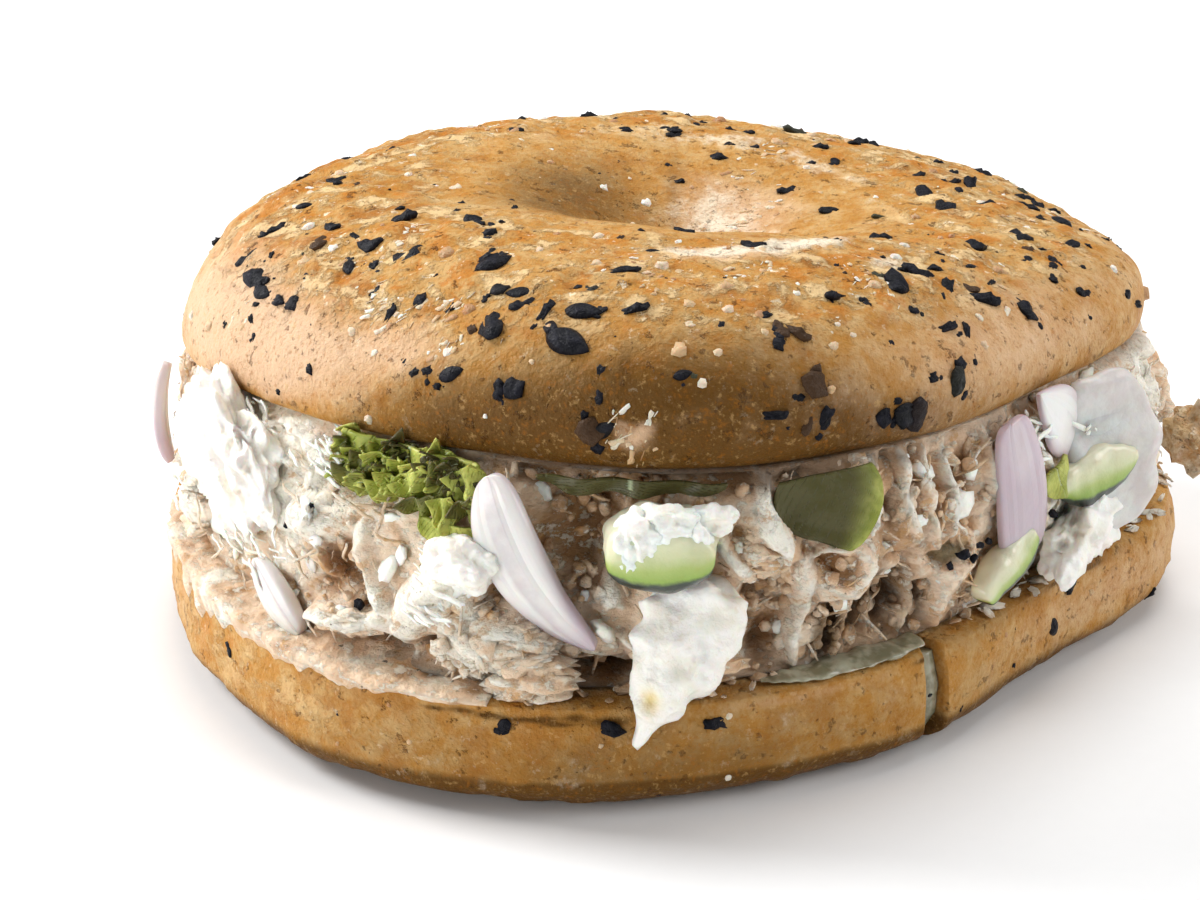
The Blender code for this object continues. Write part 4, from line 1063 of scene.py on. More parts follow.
# Fish salad
saladHollows = (  # angle, share, reach along, reach up, depth
    (262, 0.74, 8, 9, 6.0), (236, 0.05, 6, 3, 4.0), (258, 0.05, 9, 3, 4.5),
    (281, 0.30, 5, 5, 3.5), (296, 0.22, 5, 5, 3.5),
)
saladLumps = (  # angle, share, length, height, depth, slope
    (250, 0.20, 15, 9, 8, 12), (245, 0.42, 11, 8, 7, 40), (231, 0.16, 10, 5, 6, 8),
    (226, 0.62, 12, 9, 6, -25), (278, 0.68, 12, 8, 7, -10), (290, 0.52, 8, 11, 6, 80),
    (300, 0.62, 8, 12, 6, 75), (306, 0.40, 9, 7, 6, 20), (272, 0.18, 9, 5, 5, 0),
    (200, 0.28, 13, 8, 6, 15),
)
saladRopes = (  # how creamy, half width, height, then the angle and share of each bend
    (1.0, 0.9, 1.0, (205, 0.98), (212, 0.88), (217, 0.80), (221, 0.72)),
    (1.0, 0.8, 1.0, (202, 0.93), (208, 0.83), (213, 0.74), (217, 0.65)),
    (1.0, 2.6, 1.6, (203, 0.80), (206, 0.60), (208, 0.42)),
    (1.0, 0.8, 1.2, (212, 0.98), (219, 0.92), (223, 0.84), (224, 0.74)),
    (0.8, 2.2, 1.0, (214, 0.50), (221, 0.58), (228, 0.62)),
    (0.9, 1.5, 2.0, (232, 0.64), (233, 0.47), (236, 0.32), (238, 0.22)),
    (0.8, 1.4, 2.0, (225, 0.09), (230, 0.16), (235, 0.18), (239, 0.15)),
    (1.0, 2.1, 2.2, (248, 0.60), (244, 0.50), (241, 0.38), (239.5, 0.22), (239, 0.06)),
    (0.7, 1.0, 1.2, (245, 0.46), (248, 0.40), (253, 0.30), (257, 0.21)),
    (0.6, 0.9, 1.1, (243, 0.35), (248, 0.28), (254, 0.20), (258, 0.13)),
    (0.6, 0.8, 1.0, (242, 0.20), (247, 0.16), (253, 0.10), (257, 0.06)),
    (0.7, 0.7, 0.8, (242, 0.09), (248, 0.05), (253, 0.03)),
    (0.7, 1.6, 1.4, (261, 0.47), (263, 0.36)),
    (0.5, 0.5, 0.9, (258, 0.24), (261, 0.14), (264, 0.05)),
    (0.5, 0.5, 0.9, (258, 0.13), (261, 0.06), (263, 0.02)),
    (0.5, 0.5, 0.8, (260, 0.30), (263, 0.22), (265, 0.12)),
    (1.0, 1.3, 2.0, (278.5, 0.97), (279, 0.86), (280, 0.73), (281, 0.62)),
    (0.8, 1.0, 1.2, (273, 0.74), (275, 0.64), (277, 0.56)),
    (0.6, 1.2, 1.2, (273, 0.86), (276, 0.84), (279, 0.78)),
    (0.6, 1.7, 2.0, (284, 0.60), (284, 0.40), (283.5, 0.22), (283.5, 0.03)),
    (0.7, 0.7, 1.2, (284, 0.54), (286, 0.63), (289, 0.60), (291, 0.50), (289, 0.44)),
    (0.5, 1.5, 1.6, (285, 0.44), (290, 0.40), (296, 0.41), (301, 0.40), (305, 0.34)),
    (0.6, 0.6, 1.2, (290.5, 0.38), (290.8, 0.20), (291.2, 0.04)),
    (0.5, 0.6, 1.2, (294.8, 0.42), (295.4, 0.24), (296, 0.08)),
    (0.4, 0.7, 1.2, (299.6, 0.36), (299.8, 0.20), (299.8, 0.05)),
    (0.4, 1.2, 1.3, (303.5, 0.34), (304.5, 0.20), (305, 0.06)),
    (1.0, 0.9, 1.8, (292.6, 0.97), (292.4, 0.80), (291.8, 0.62)),
    (0.6, 1.3, 1.5, (296.8, 0.97), (297.0, 0.78), (297.6, 0.58)),
    (0.5, 0.8, 1.3, (300.8, 0.95), (301.4, 0.74), (301.8, 0.52)),
    (1.0, 0.7, 1.4, (304.6, 0.95), (305.0, 0.74), (304.6, 0.54)),
    (0.6, 0.9, 1.2, (312.6, 0.96), (313.2, 0.78), (314.5, 0.60)),
    (0.9, 2.0, 1.2, (314, 0.02), (320, 0.05), (326, 0.04)),
    (0.9, 1.0, 1.6, (324, 0.90), (327, 0.84), (330, 0.80)),
    (0.8, 0.8, 1.2, (323.5, 0.76), (325, 0.68), (327, 0.60)),
    (0.8, 0.9, 1.3, (345, 0.90), (341, 0.74), (338, 0.62)),
)
saladPits = (  # angle, share, half width, half height, depth, how brown, how olive
    (208.0, 0.55, 0.6, 3.0, 1.2, 0.6, 0.4), (216, 0.74, 2.2, 1.6, 0.5, 0.5, 0.5),
    (230.5, 0.42, 3.0, 3.0, 2.4, 0.9, 0.0), (233.6, 0.26, 1.3, 1.2, 2.6, 1.0, 0.0),
    (228.5, 0.30, 1.6, 1.4, 1.2, 0.6, 0.0), (235, 0.07, 3.6, 1.1, 2.2, 0.8, 0.4),
    (249.5, 0.49, 1.9, 1.6, 1.4, 0.8, 0.0), (255.4, 0.37, 1.6, 1.2, 1.2, 0.9, 0.0),
    (246.5, 0.15, 1.1, 0.5, 0.8, 0.5, 0.0), (257, 0.70, 4.5, 7.0, 1.0, 0.9, 0.3),
    (264, 0.90, 6.5, 2.5, 1.2, 0.9, 0.2), (274.5, 0.92, 4.0, 1.6, 1.4, 0.8, 0.0),
    (276.5, 0.72, 1.0, 1.0, 1.0, 0.7, 0.0), (278.4, 0.44, 2.4, 3.0, 2.1, 0.7, 0.5),
    (276.0, 0.22, 2.6, 4.2, 2.1, 0.8, 0.0), (279.8, 0.10, 2.4, 2.6, 1.8, 0.8, 0.0),
    (287.4, 0.53, 2.6, 1.9, 1.2, 0.9, 0.0), (283.0, 0.80, 1.5, 3.0, 1.0, 0.6, 0.3),
    (288.6, 0.17, 2.3, 3.8, 3.6, 0.7, 0.9), (292.9, 0.26, 1.9, 4.8, 3.6, 0.7, 0.7),
    (297.4, 0.24, 1.8, 4.6, 3.6, 0.8, 0.5), (301.6, 0.18, 1.6, 3.6, 3.0, 0.8, 0.4),
    (294.6, 0.80, 0.9, 4.6, 2.0, 0.8, 0.0), (299.0, 0.76, 0.9, 4.6, 1.6, 0.8, 0.0),
    (303.0, 0.72, 0.8, 4.6, 1.4, 0.7, 0.0), (308.5, 0.72, 2.2, 4.4, 1.6, 0.9, 0.1),
    (304.5, 0.46, 2.4, 1.2, 0.9, 0.4, 0.9), (322, 0.84, 1.6, 2.2, 1.4, 0.5, 0.5),
    (333, 0.50, 3.2, 1.4, 0.8, 0.7, 0.3), (326, 0.52, 1.4, 1.4, 1.0, 0.8, 0.0),
    (330, 0.03, 3.0, 0.9, 1.4, 0.4, 0.9), (343, 0.34, 4.0, 3.0, 0.7, 0.2, 0.7),
    (260, 0.05, 4.5, 1.5, 2.6, 0.9, 0.3), (241.5, 0.09, 2.2, 1.2, 2.4, 0.9, 0.4),
    (252, 0.93, 3.0, 1.2, 1.8, 0.8, 0.2),
)
saladCrumbly = (  # angle, share, half angle and half share of the crumbly parts
    (277, 0.72, 5, 0.16), (298, 0.50, 5, 0.10), (288, 0.62, 4, 0.10), (306, 0.44, 4, 0.08),
)
saladColours = {  # strength, angle, share, half angle and half share
    "creamy": (
        (0.75, 203, 0.6, 22, 0.6), (0.40, 225, 0.55, 14, 0.4), (0.45, 246, 0.25, 12, 0.5),
        (0.85, 338, 0.25, 16, 0.45), (0.90, 353, 0.50, 12, 0.6), (0.35, 60, 0.5, 70, 0.6),
    ),
    "brown": (
        (0.55, 261, 0.75, 7, 0.30), (0.55, 297, 0.50, 16, 0.6), (0.60, 259, 0.10, 4, 0.22),
        (0.25, 278, 0.30, 6, 0.35),
    ),
    "olive": ((0.40, 293, 0.25, 14, 0.35),),
}


def backRopes():  # the far side is as uneven as the near one
    draw = random.Random(12)
    ropes, pits = list(saladRopes), list(saladPits)
    for k in range(44):
        angle, share = 352 + 184 * (k + draw.random()) / 44, draw.uniform(0.1, 0.9)
        bends = [(angle + draw.uniform(-1, 1), share)]
        lean, drop = draw.uniform(-3, 3), draw.uniform(0.10, 0.28) * draw.choice((-1, 1))
        for _ in range(3):
            bends.append((bends[-1][0] + lean + draw.uniform(-1, 1), min(1, max(0, bends[-1][1] + drop))))
        ropes.append((draw.uniform(0.3, 1.0), draw.uniform(0.7, 2.0), draw.uniform(1.0, 2.0), *bends))
        if k % 2:
            middle, level = angle + draw.uniform(2, 4), draw.uniform(0.1, 0.9)
            wide, tall, deep = draw.uniform(1, 3), draw.uniform(1, 3), draw.uniform(1, 2.5)
            pits.append((middle, level, wide, tall, deep, draw.uniform(0.5, 1), draw.random()))
    return ropes, pits


saladBends, saladCavities = backRopes()


def saladPlane(angle, share):  # the salad's side laid flat: along and up, in mm
    unrolled = (np.asarray(angle, float) - 180) % 360 + 180
    middle = np.asarray(share, float) * (13 + 10.5 * np.clip(-np.sin(np.radians(angle)) * 0.5 + 0.5, 0, 1))
    return np.stack(np.broadcast_arrays(np.radians(unrolled) * 55, middle), -1)


def saladMarks(angle, share, warp=0.0):  # relief and colour of the ropes and cavities
    here = saladPlane(angle, share) + warp
    ridge, cream = np.zeros(here.shape[:-1]), np.zeros(here.shape[:-1])
    for creamy, wide, high, *bends in saladBends:
        bends = saladPlane(*np.array(bends).T)
        nearest, way = np.full(ridge.shape, 9.0), np.zeros(ridge.shape)
        near = np.abs(here[..., 0] - bends[:, 0].mean()) < 16
        some = here[near]
        best, where = np.full(len(some), 9.0), np.zeros(len(some))
        for k, (start, end) in enumerate(zip(bends, bends[1:])):
            along = end - start
            part = np.clip(((some - start) @ along) / (along @ along), 0, 1)
            gap = np.linalg.norm(some - start - part[:, None] * along, axis=1)
            where = np.where(gap < best, (k + part) / (len(bends) - 1), where)
            best = np.minimum(best, gap)
        nearest[near], way[near] = best, where
        girth = wide * (0.45 + 0.55 * np.minimum(1, 5 * np.minimum(way, 1 - way)))
        inside = np.clip(1 - (nearest / girth) ** 2, 0, 1) ** 0.6
        ridge = np.maximum(ridge, high * girth / wide * inside)
        cream = np.maximum(cream, creamy * np.clip(1.4 - nearest / girth, 0, 1))
    pit, brown, olive = (np.zeros(ridge.shape) for _ in range(3))
    for middle, level, wide, tall, deep, browner, greener in saladCavities:
        away = (here - saladPlane(middle, level)) / (wide, tall)
        inside = np.exp(-((away**2).sum(-1) ** 1.5))
        pit = np.maximum(pit, deep * inside)
        brown, olive = np.maximum(brown, browner * inside), np.maximum(olive, greener * inside)
    return ridge, cream * (1 - 0.8 * np.clip(pit, 0, 1)), pit, brown * (1 - 0.6 * cream), olive


def saladHollow(angle, share):
    here = saladSide(angle, share)
    deepest = np.zeros(here.shape[:-1])
    for middle, level, along, up, deep in saladHollows:
        there = saladSide(middle, level)
        aside = np.hypot(here[..., 0] - there[0], here[..., 1] - there[1]) / (along * mm)
        above = (here[..., 2] - there[2]) / (up * mm)
        deepest = np.maximum(deepest, deep * mm * np.exp(-(aside**2 + above**2)))
    return deepest


def saladBulge(angle, share):  # the large masses that stand out
    here = saladPlane(angle, share)
    highest = np.zeros(here.shape[:-1])
    for middle, level, length, height, depth, slope in saladLumps:
        turn = math.radians(slope)
        away = here - saladPlane(middle, level)
        along = (away[..., 0] * math.cos(turn) + away[..., 1] * math.sin(turn)) / (length / 2)
        above = (away[..., 1] * math.cos(turn) - away[..., 0] * math.sin(turn)) / (height / 2)
        bulge = np.sqrt(np.clip(1 - along**2 - above**2, 0, 1)) * 0.55 * depth - 0.2 * depth
        highest = np.maximum(highest, bulge * mm)
    return highest


def chunkRelief(points, size):  # distance to the nearest chunk's middle, and a number for each chunk
    flat = (points.reshape(-1, 3) / size).tolist()
    near = np.empty(len(flat))
    mark = np.empty((len(flat), 3))
    for k, point in enumerate(flat):
        distances, places = noise.voronoi(point)
        near[k] = distances[0]
        mark[k] = places[0]
    shape = points.shape[:-1]
    return near.reshape(shape), mark.reshape(*shape, 3)


def fibreRelief(points, mark, length, width):  # grooves that run another way in each chunk
    shape = points.shape[:-1]
    flat, mark = points.reshape(-1, 3), mark.reshape(-1, 3)
    spin = np.sin(mark * (12.99, 78.23, 37.71)) * 43758.5
    axis = (spin % 1.0) - 0.5
    axis[:, 2] *= 0.4
    axis /= np.linalg.norm(axis, axis=1, keepdims=True)
    along = (flat * axis).sum(1, keepdims=True) * axis
    warped = (flat - along) / width + along / length
    values = np.fromiter((noise.noise(p) for p in warped.tolist()), float, len(flat))
    return values.reshape(shape)


def saladTones(angle, share, marks):  # colour fields at a place on the salad's side
    _, cream, pit, brown, olive = marks
    more = {key: marked(angle, share, marks) for key, marks in saladColours.items()}
    creamy = np.clip(np.maximum(more["creamy"], cream), 0, 1) * (1 - 0.7 * np.clip(pit / 1.5, 0, 1))
    left = spot(angle, share, 218, 0.4, 32, 1.2)  # the light reaches into the cavities there
    return {
        "creamy": creamy,
        "brown": np.maximum(brown, more["brown"] * (1 - cream)),
        "olive": np.maximum(olive, more["olive"] * (1 - cream)),
        # deep is painted shade in the cavities, weaker where the light reaches in
        "deep": np.clip(pit / 3.2, 0, 1) * (1 - 0.55 * left),
    }


saladFields = {}  # the colour fields and painted shade of the core, for the loose pieces that lie on it


def saladField(key, angle, share):
    values = saladFields[key]
    row = np.clip(np.round(share * (len(values) - 1)), 0, len(values) - 1).astype(int)
    column = np.round(np.asarray(angle) % 360 / 360 * values.shape[1]).astype(int) % values.shape[1]
    return values[row, column]


def buildSaladCore(finish):
    spokes = np.linspace(0, 360, salad["spokes"], endpoint=False)
    shares = np.linspace(0, 1, salad["rings"])[:, None]
    plain = saladSide(spokes, shares)
    near, _ = chunkRelief(plain, salad["chunk"])
    warp = np.stack((ripple(plain, 6 * mm, 1) * 1.6 + ripple(plain, 2.2 * mm, 2) * 0.5,
                     ripple(plain, 6 * mm, 3) * 1.6 + ripple(plain, 2.2 * mm, 4) * 0.5), -1)
    angles = np.broadcast_to(spokes, plain.shape[:-1])
    marks = saladMarks(angles, shares, warp)
    ridge, cream, pit, _, _ = marks
    grainy = sum(spot(spokes, shares, *where) for where in saladCrumbly)
    rough = salad["depth"] * (0.35 - near**2) * 0.7 - 0.5 * mm - saladHollow(spokes, shares)
    rough = rough + saladBulge(spokes, shares)
    mid, mark = chunkRelief(plain + polar(spokes, 2 * mm * ripple(plain, 6 * mm, 9), 0.0), 4.4 * mm)
    small, _ = chunkRelief(plain, 1.9 * mm)
    grain = fibreRelief(plain, mark, 6 * mm, 0.8 * mm)
    soft = 1 - 0.6 * cream
    rough = rough + (1.1 * mm * (0.3 - mid**2) + 0.34 * mm * grain) * soft
    rough = rough + 0.9 * mm * grainy * (0.3 - small**2)
    rough = rough + 0.20 * mm * ripple(plain, 1.4 * mm, 7) + 0.10 * mm * ripple(plain, 0.7 * mm, 8)
    rough = rough + (ridge - pit) * mm
    fade = np.minimum(1, shares / 0.02) * np.minimum(1, (1 - shares) / 0.03)
    grid = heldBetweenCuts(plain + polar(spokes, rough * fade - 0.4 * mm * (1 - fade), 0.0), salad["gap"])
    inner = np.array((0.4, 0.75, 0.94))[:, None, None]
    bottom, top = grid[0] * inner, grid[-1] * inner[::-1]
    bottom[..., 2] = heelCut(bottom[..., 0]) + salad["gap"]
    top[..., 2] = crownCut(top[..., 0], top[..., 1]) - salad["gap"]
    points, faces = skin(np.concatenate((bottom, grid, top)))
    fields = saladTones(spokes, shares, marks)
    # painted shade in the gaps between chunks, painted shadow under the crown's rim and painted shade along
    # the salad's foot
    fields["deep"] = np.clip(fields["deep"] + np.clip(mid**2 - 0.55, 0, 1) * (1 - cream), 0, 1)
    shadow = np.clip((shares - 0.88) / 0.08, 0, 1) * (0.4 + 0.5 * spot(spokes, shares, 268, 0.9, 26, 2))
    shadow = shadow * (1 - spot(spokes, shares, 205, 0.9, 26, 2))
    fields["deep"] = np.maximum(fields["deep"], np.maximum(shadow, 0.7 * np.clip(1 - shares / 0.05, 0, 1)))
    fields["tone"] = (np.sin(mark[..., 0] * 12.9 + mark[..., 1] * 78.2) * 437.5) % 1.0
    for key, values in fields.items():
        values = np.broadcast_to(values, plain.shape[:-1])
        saladFields[key] = values
        fields[key] = np.concatenate((values[:1].repeat(3, 0), values, values[-1:].repeat(3, 0)))
    mesh = buildMesh("saladCore", points, faces, **fields)
    place("saladCore", mesh, finish, "tuna_salad", "salad")


def tintBySalad(mesh, amount=0.75):  # gives loose pieces the colours and the painted shade of the salad where they lie
    points = np.empty(len(mesh.vertices) * 3, np.float32)
    mesh.vertices.foreach_get("co", points)
    points = points.reshape(-1, 3).astype(float)
    angle = np.degrees(np.arctan2(points[:, 1], points[:, 0])) % 360
    low = heelCut(points[:, 0])
    share = np.clip((points[:, 2] - low) / (crownCut(points[:, 0], points[:, 1]) - low), 0, 1)
    for key in ("creamy", "brown", "olive", "deep"):
        layer = mesh.attributes.get(key) or mesh.attributes.new(key, "FLOAT", "POINT")
        own = np.zeros(len(points), np.float32)
        layer.data.foreach_get("value", own)
        mixed = np.clip(saladField(key, angle, share), 0, 1) * amount + own * (1 - amount)
        layer.data.foreach_set("value", (mixed * (0.8 if key == "deep" else 1)).astype(np.float32))


def fishFlake(frameHere, length, width, thick, steps, sides, salt, bend, ragged):
    rings = []
    draw = random.Random(salt)
    shift = 10 * draw.random()
    for k in range(1, steps):
        share = k / steps
        along = share - 0.5
        full = math.sin(math.pi * share) ** 0.45 * (1 - 0.35 * along * math.sin(shift))
        ring = []
        for i in range(sides):
            turn = 2 * math.pi * i / sides
            y, z = math.cos(turn), math.sin(turn)
            fibre = noise.noise((shift, 3.0 * y + 5, 2.0 * z + 0.8 * along))
            torn = noise.noise((shift + 4, 2.2 * y, 2.2 * z + 3)) * ragged
            edge = 1 + 0.22 * noise.noise((shift + 9, 4 * along + 2 * y, z))
            ring.append((
                (along + torn * 2 * abs(along)) * length,
                math.copysign(abs(y) ** 0.8, y) * width / 2 * full * edge,
                math.copysign(abs(z) ** 0.7, z) * thick / 2 * (0.5 + 0.5 * full) * (1 + 0.5 * fibre)
                + bend * length * (0.12 - along * along),
            ))
        rings.append(ring)
    points, faces = skin(np.array(rings)[:, ::-1])
    return moved(points, frameHere), faces


fishLayers = (  # angle, share, length, depth, spread of the layers, slope, how many
    (253, 0.14, 10.0, 5.6, 8.0, 6, 9), (246, 0.40, 8.0, 4.6, 6.0, 38, 5),
    (232, 0.17, 9.0, 4.0, 2.6, 8, 3), (278, 0.66, 6.5, 4.0, 5.0, -20, 4),
    (299, 0.70, 6.0, 3.0, 4.0, 80, 2), (272.5, 0.16, 7.0, 4.0, 4.0, 6, 3),
    (200, 0.28, 10.0, 4.5, 6.0, 15, 4), (40, 0.40, 13.0, 5.0, 8.0, -12, 5),
    (75, 0.55, 12.0, 5.0, 8.0, 20, 5), (112, 0.40, 13.0, 5.0, 8.0, -8, 5),
    (150, 0.50, 12.0, 5.0, 8.0, 14, 5), (170, 0.35, 11.0, 4.5, 6.0, -20, 4),
    (10, 0.45, 11.0, 4.5, 7.0, 10, 4),
)


def buildFishChunks(finish):  # masses of thin flakes that lie on one another
    parts, fields = [], {"tone": [], "creamy": [], "brown": []}
    draw = random.Random(17)
    for number, (angle, share, length, depth, spread, slope, layers) in enumerate(fishLayers):
        for layer in range(layers):
            level = (layer + 0.5) / layers - 0.5
            swell = math.cos(level * 2.2)
            offset = Matrix.Translation((
                (0.28 * depth * swell + draw.uniform(-0.9, 0.3)) * mm,
                draw.uniform(-0.14, 0.14) * length * mm,
                (level * spread + draw.uniform(-0.5, 0.5)) * mm,
            ))
            tip = Matrix.Rotation(math.radians(draw.uniform(-9, 9)), 4, "X") @ Matrix.Rotation(
                math.radians(-18 * level + draw.uniform(-12, 12)), 4, "Y")
            turn = Matrix.Rotation(math.radians(90 + draw.uniform(-14, 14)), 4, "Z")
            frameHere = sideFrame(angle, share, -0.1 * depth, slope) @ offset @ tip @ turn
            long = length * mm * (0.62 + 0.3 * swell) * draw.uniform(0.75, 1.05)
            wide, thick = depth * mm * (0.7 + 0.3 * swell), draw.uniform(1.3, 2.3) * mm
            points, faces = fishFlake(frameHere, long, wide, thick, 44, 38, number * 31 + layer,
                                      draw.uniform(-0.05, 0.22), 0.26)
            normals = points - points.mean(0)
            normals /= np.linalg.norm(normals, axis=1, keepdims=True)
            rough = 0.9 * ripple(points, 2.6 * mm, layer) + 0.45 * ripple(points, 1.0 * mm, layer)
            rough = rough + 0.30 * np.abs(ripple(points, 0.6 * mm, layer)) - 0.12
            points = points + normals * (rough * mm)[:, None]
            parts.append((heldBetweenCuts(points), faces))
            fields["tone"].append(np.full(len(points), draw.random()))
            fields["creamy"].append(np.full(len(points), draw.uniform(0.1, 0.75)))
            fields["brown"].append(np.full(len(points), draw.uniform(0.0, 0.12)))
    points, faces = joined(parts)
    mesh = buildMesh("fishChunks", points, faces, **{k: np.concatenate(v) for k, v in fields.items()})
    tintBySalad(mesh, 0.5)
    print("fishChunks:", len(faces), "faces")
    place("fishChunks", mesh, finish, "tuna_salad", "salad")


def saladSpots(draw, count, toppings, clear, sizes, favour=None, out=(-0.6, 0.6), lying=0.5):
    found = []
    tries = 0
    while len(found) < count and tries < count * 30:
        tries += 1
        angle, share = 360 * draw.random(), 0.03 + 0.94 * draw.random()
        if favour and draw.random() > favour(angle, share):
            continue
        lift = draw.uniform(*out) * mm - 0.9 * float(saladHollow(angle, share)) - 0.3 * mm
        lift += 0.8 * float(saladBulge(angle, share))
        at = saladSide(angle, share) + polar(angle, lift, 0.0)
        if toppings.find(at)[2] < clear * mm:
            continue
        outward = Vector(polar(angle, 1.0, 0.0))
        tilted = lying * Vector((draw.gauss(0, 1), draw.gauss(0, 1), draw.gauss(0, 1) + 0.3))
        facing = (outward + tilted).normalized()
        heading = Vector((draw.gauss(0, 1), draw.gauss(0, 1), draw.gauss(0, 0.6)))
        size = sizes[0] + (sizes[1] - sizes[0]) * draw.random() ** 1.6
        found.append({"at": at, "facing": facing, "heading": heading, "size": (size * mm,) * 3})
    return found


def strandShape(name, salt):  # a curved fibre, 1 long
    rings = []
    for k in range(1, 9):
        share = k / 9
        girth = 0.036 * math.sin(math.pi * share) ** 0.5
        bend = 0.16 * math.sin(3 * share + salt) + 0.05 * math.sin(9 * share + 2 * salt)
        rings.append([(share - 0.5, girth * math.cos(turn), bend + girth * math.sin(turn))
                      for turn in np.linspace(0, 2 * np.pi, 6)[:-1]])
    return buildMesh(name, *skin(rings))


def fishShape(name, salt):
    points, faces = fishFlake(Matrix(), 1, 0.55, 0.24, 9, 12, salt, 0.4, 0.3)
    return buildMesh(name, points, faces, creamy=np.full(len(points), (salt * 0.37) % 1 * 0.7),
                     brown=np.full(len(points), (salt * 0.61) % 1 * 0.45), deep=np.zeros(len(points)))


creamShards = (  # angle, share, how wide and tall the patch, how many
    (225, 0.90, 3.0, 0.10, 34), (209, 0.86, 6.0, 0.16, 40), (199, 0.50, 3.0, 0.30, 20),
    (322, 0.84, 2.5, 0.12, 30), (334, 0.76, 3.0, 0.12, 20), (217, 0.30, 8.0, 0.20, 24),
    (244, 0.50, 4.0, 0.20, 24), (345, 0.60, 8.0, 0.4, 40),
)


def buildSaladBits(fish, cream, toppings):
    draw = random.Random(29)

    def looseFavour(angle, share):  # fewer where the salad is smooth and creamy
        return 1 - 0.8 * saladField("creamy", angle, share)

    def massFavour(angle, share):  # on the mass that hangs over the rim
        return float(spot(angle, share, 251, 0.16, 7, 0.22) > 0.35)

    def creamFavour(angle, share):
        return 0.08 + saladField("creamy", angle, share)

    inSalad = ("tuna_salad", "salad")
    flakes = [fishShape(f"fishFlake{k}", k + 1) for k in range(9)]
    spots = saladSpots(draw, 400, toppings, 1.6, (2.0, 5.2), looseFavour, (-1.2, 0.2), 0.6)
    spots += saladSpots(draw, 60, toppings, 1.2, (1.8, 4.2), massFavour, (0.0, 1.4), 0.8)
    scattered("fishFlakes", spots, flakes, fish, *inSalad, (0.8, 1.15), 7, heldBetweenCuts, tintBySalad)
    strands = [strandShape(f"fishStrand{k}", k * 1.3) for k in range(6)]
    spots = saladSpots(draw, 560, toppings, 0.8, (2.5, 7.0), None, (-0.4, 0.9), 0.3)
    spots += saladSpots(draw, 60, toppings, 0.6, (2.5, 6.0), massFavour, (0.4, 1.8), 0.3)
    scattered("fishStrands", spots, strands, fish, *inSalad, (0.7, 1.1), 8, heldBetweenCuts, tintBySalad)
    crumbs = [crumbShape(f"fishCrumb{k}", 5.7 * k) for k in range(6)]
    spots = saladSpots(draw, 1100, toppings, 0.4, (0.5, 1.7), looseFavour, (-0.8, 0.5), 1.0)
    spots += saladSpots(draw, 160, toppings, 0.4, (0.8, 2.2), massFavour, (0.2, 1.6), 1.0)
    scattered("fishCrumbs", spots, crumbs, fish, *inSalad, (0.7, 1.2), 9, heldBetweenCuts, tintBySalad)
    shards = []
    for angle, share, wide, tall, count in creamShards:
        for _ in range(count):
            where = (angle + draw.gauss(0, 0.5) * wide, min(0.98, share + draw.gauss(0, 0.5) * tall))
            at = saladSide(*where) + polar(where[0], saladBulge(*where) + draw.uniform(0.2, 1.8) * mm, 0.0)
            size = draw.uniform(2.0, 5.5) * mm
            facing = polar(angle, 1.0, draw.gauss(0, 0.3))
            heading = polar(angle + 90, 0.9, draw.uniform(-1.2, 0.2))
            shards.append({"at": at, "facing": facing, "heading": heading, "size": (size, size * 1.8, size)})
    scattered("creamShards", shards, strands, cream, "tuna_salad", "cream", (0.7, 1.1), 18, heldBetweenCuts)
    blobs = [crumbShape(f"creamBlob{k}", 11.3 * k) for k in range(5)]
    spots = saladSpots(draw, 260, toppings, 0.6, (0.8, 2.8), creamFavour, (-0.5, 0.4), 0.4)
    for here in spots:
        side, across, up = here["size"]
        here["size"] = (side * 1.4, across, up * 0.45)
    scattered("creamBlobs", spots, blobs, cream, "tuna_salad", "cream", (0.7, 1.2), 10, heldBetweenCuts)


# Toppings tucked in the salad's side
# at: angle, share, out, slope and lean; size: length, width and thickness in mm
onionSlices = {
    "onionFront": {"node": "onion_front", "at": (254.5, 0.61, 1.6, -58), "size": (21, 6.2, 2.2),
                   "bend": 30, "blunt": 0.4, "taper": 0.7, "sweep": 1.8},
    "onionLeft": {"node": "onion_left", "at": (222, 0.15, 1.2, -40), "size": (9.5, 4.6, 2.2),
                  "bend": 25, "tint": 0.45},
    "onionRight": {"node": "onion_right", "at": (317.5, 0.62, 1.3, -78), "size": (17, 8.0, 1.5),
                   "bend": 16, "blunt": 0.16, "taper": -0.25, "tint": 2.3},
    "onionFarRight": {"node": "onion_far_right", "at": (329.5, 0.84, 1.4, -42), "size": (15, 7.5, 1.2),
                      "bend": 25, "blunt": 0.8, "tint": 1.2},
    "onionLeftEdge": {"node": "onion_left_edge", "at": (184, 0.55, 2.6, -82), "size": (12, 4.4, 1.8),
                      "bend": 45},
    "onionSheetRight": {"node": "onion_sheet_right", "at": (337, 0.58, 3.2, -74), "size": (19, 11, 0.9),
                        "bend": 40, "blunt": 0.25, "taper": 0.3, "twist": -38, "tint": 0.0, "crumple": 1.3},
    "onionBack": {"node": "onion_back", "at": (78, 0.50, 1.0, 35), "size": (15, 5, 2), "bend": 35},
    "onionBackLeft": {"node": "onion_back_left", "at": (138, 0.45, 0.8, -30), "size": (13, 4.6, 2),
                      "bend": 30},
}
cucumberPieces = {
    "cucumberStrip": {"node": "cucumber_strip", "at": (315.5, 0.26, 1.5, 34), "size": (9.5, 4.6, 3),
                      "blunt": 0.25},
    "cucumberSlice": {"node": "cucumber_slice", "at": (334, 0.52, 2.2, 8), "size": (11, 6.4, 2.4),
                      "twist": -30},
    "cucumberChunk": {"node": "cucumber_chunk", "at": (267.3, 0.72, 1.4, 4), "size": (11, 8.0, 8),
                      "blunt": 0.3},
    "cucumberBack": {"node": "cucumber_back", "at": (52, 0.30, 0.9, -15), "size": (12, 4.6, 3.2),
                     "blunt": 0.3},
}
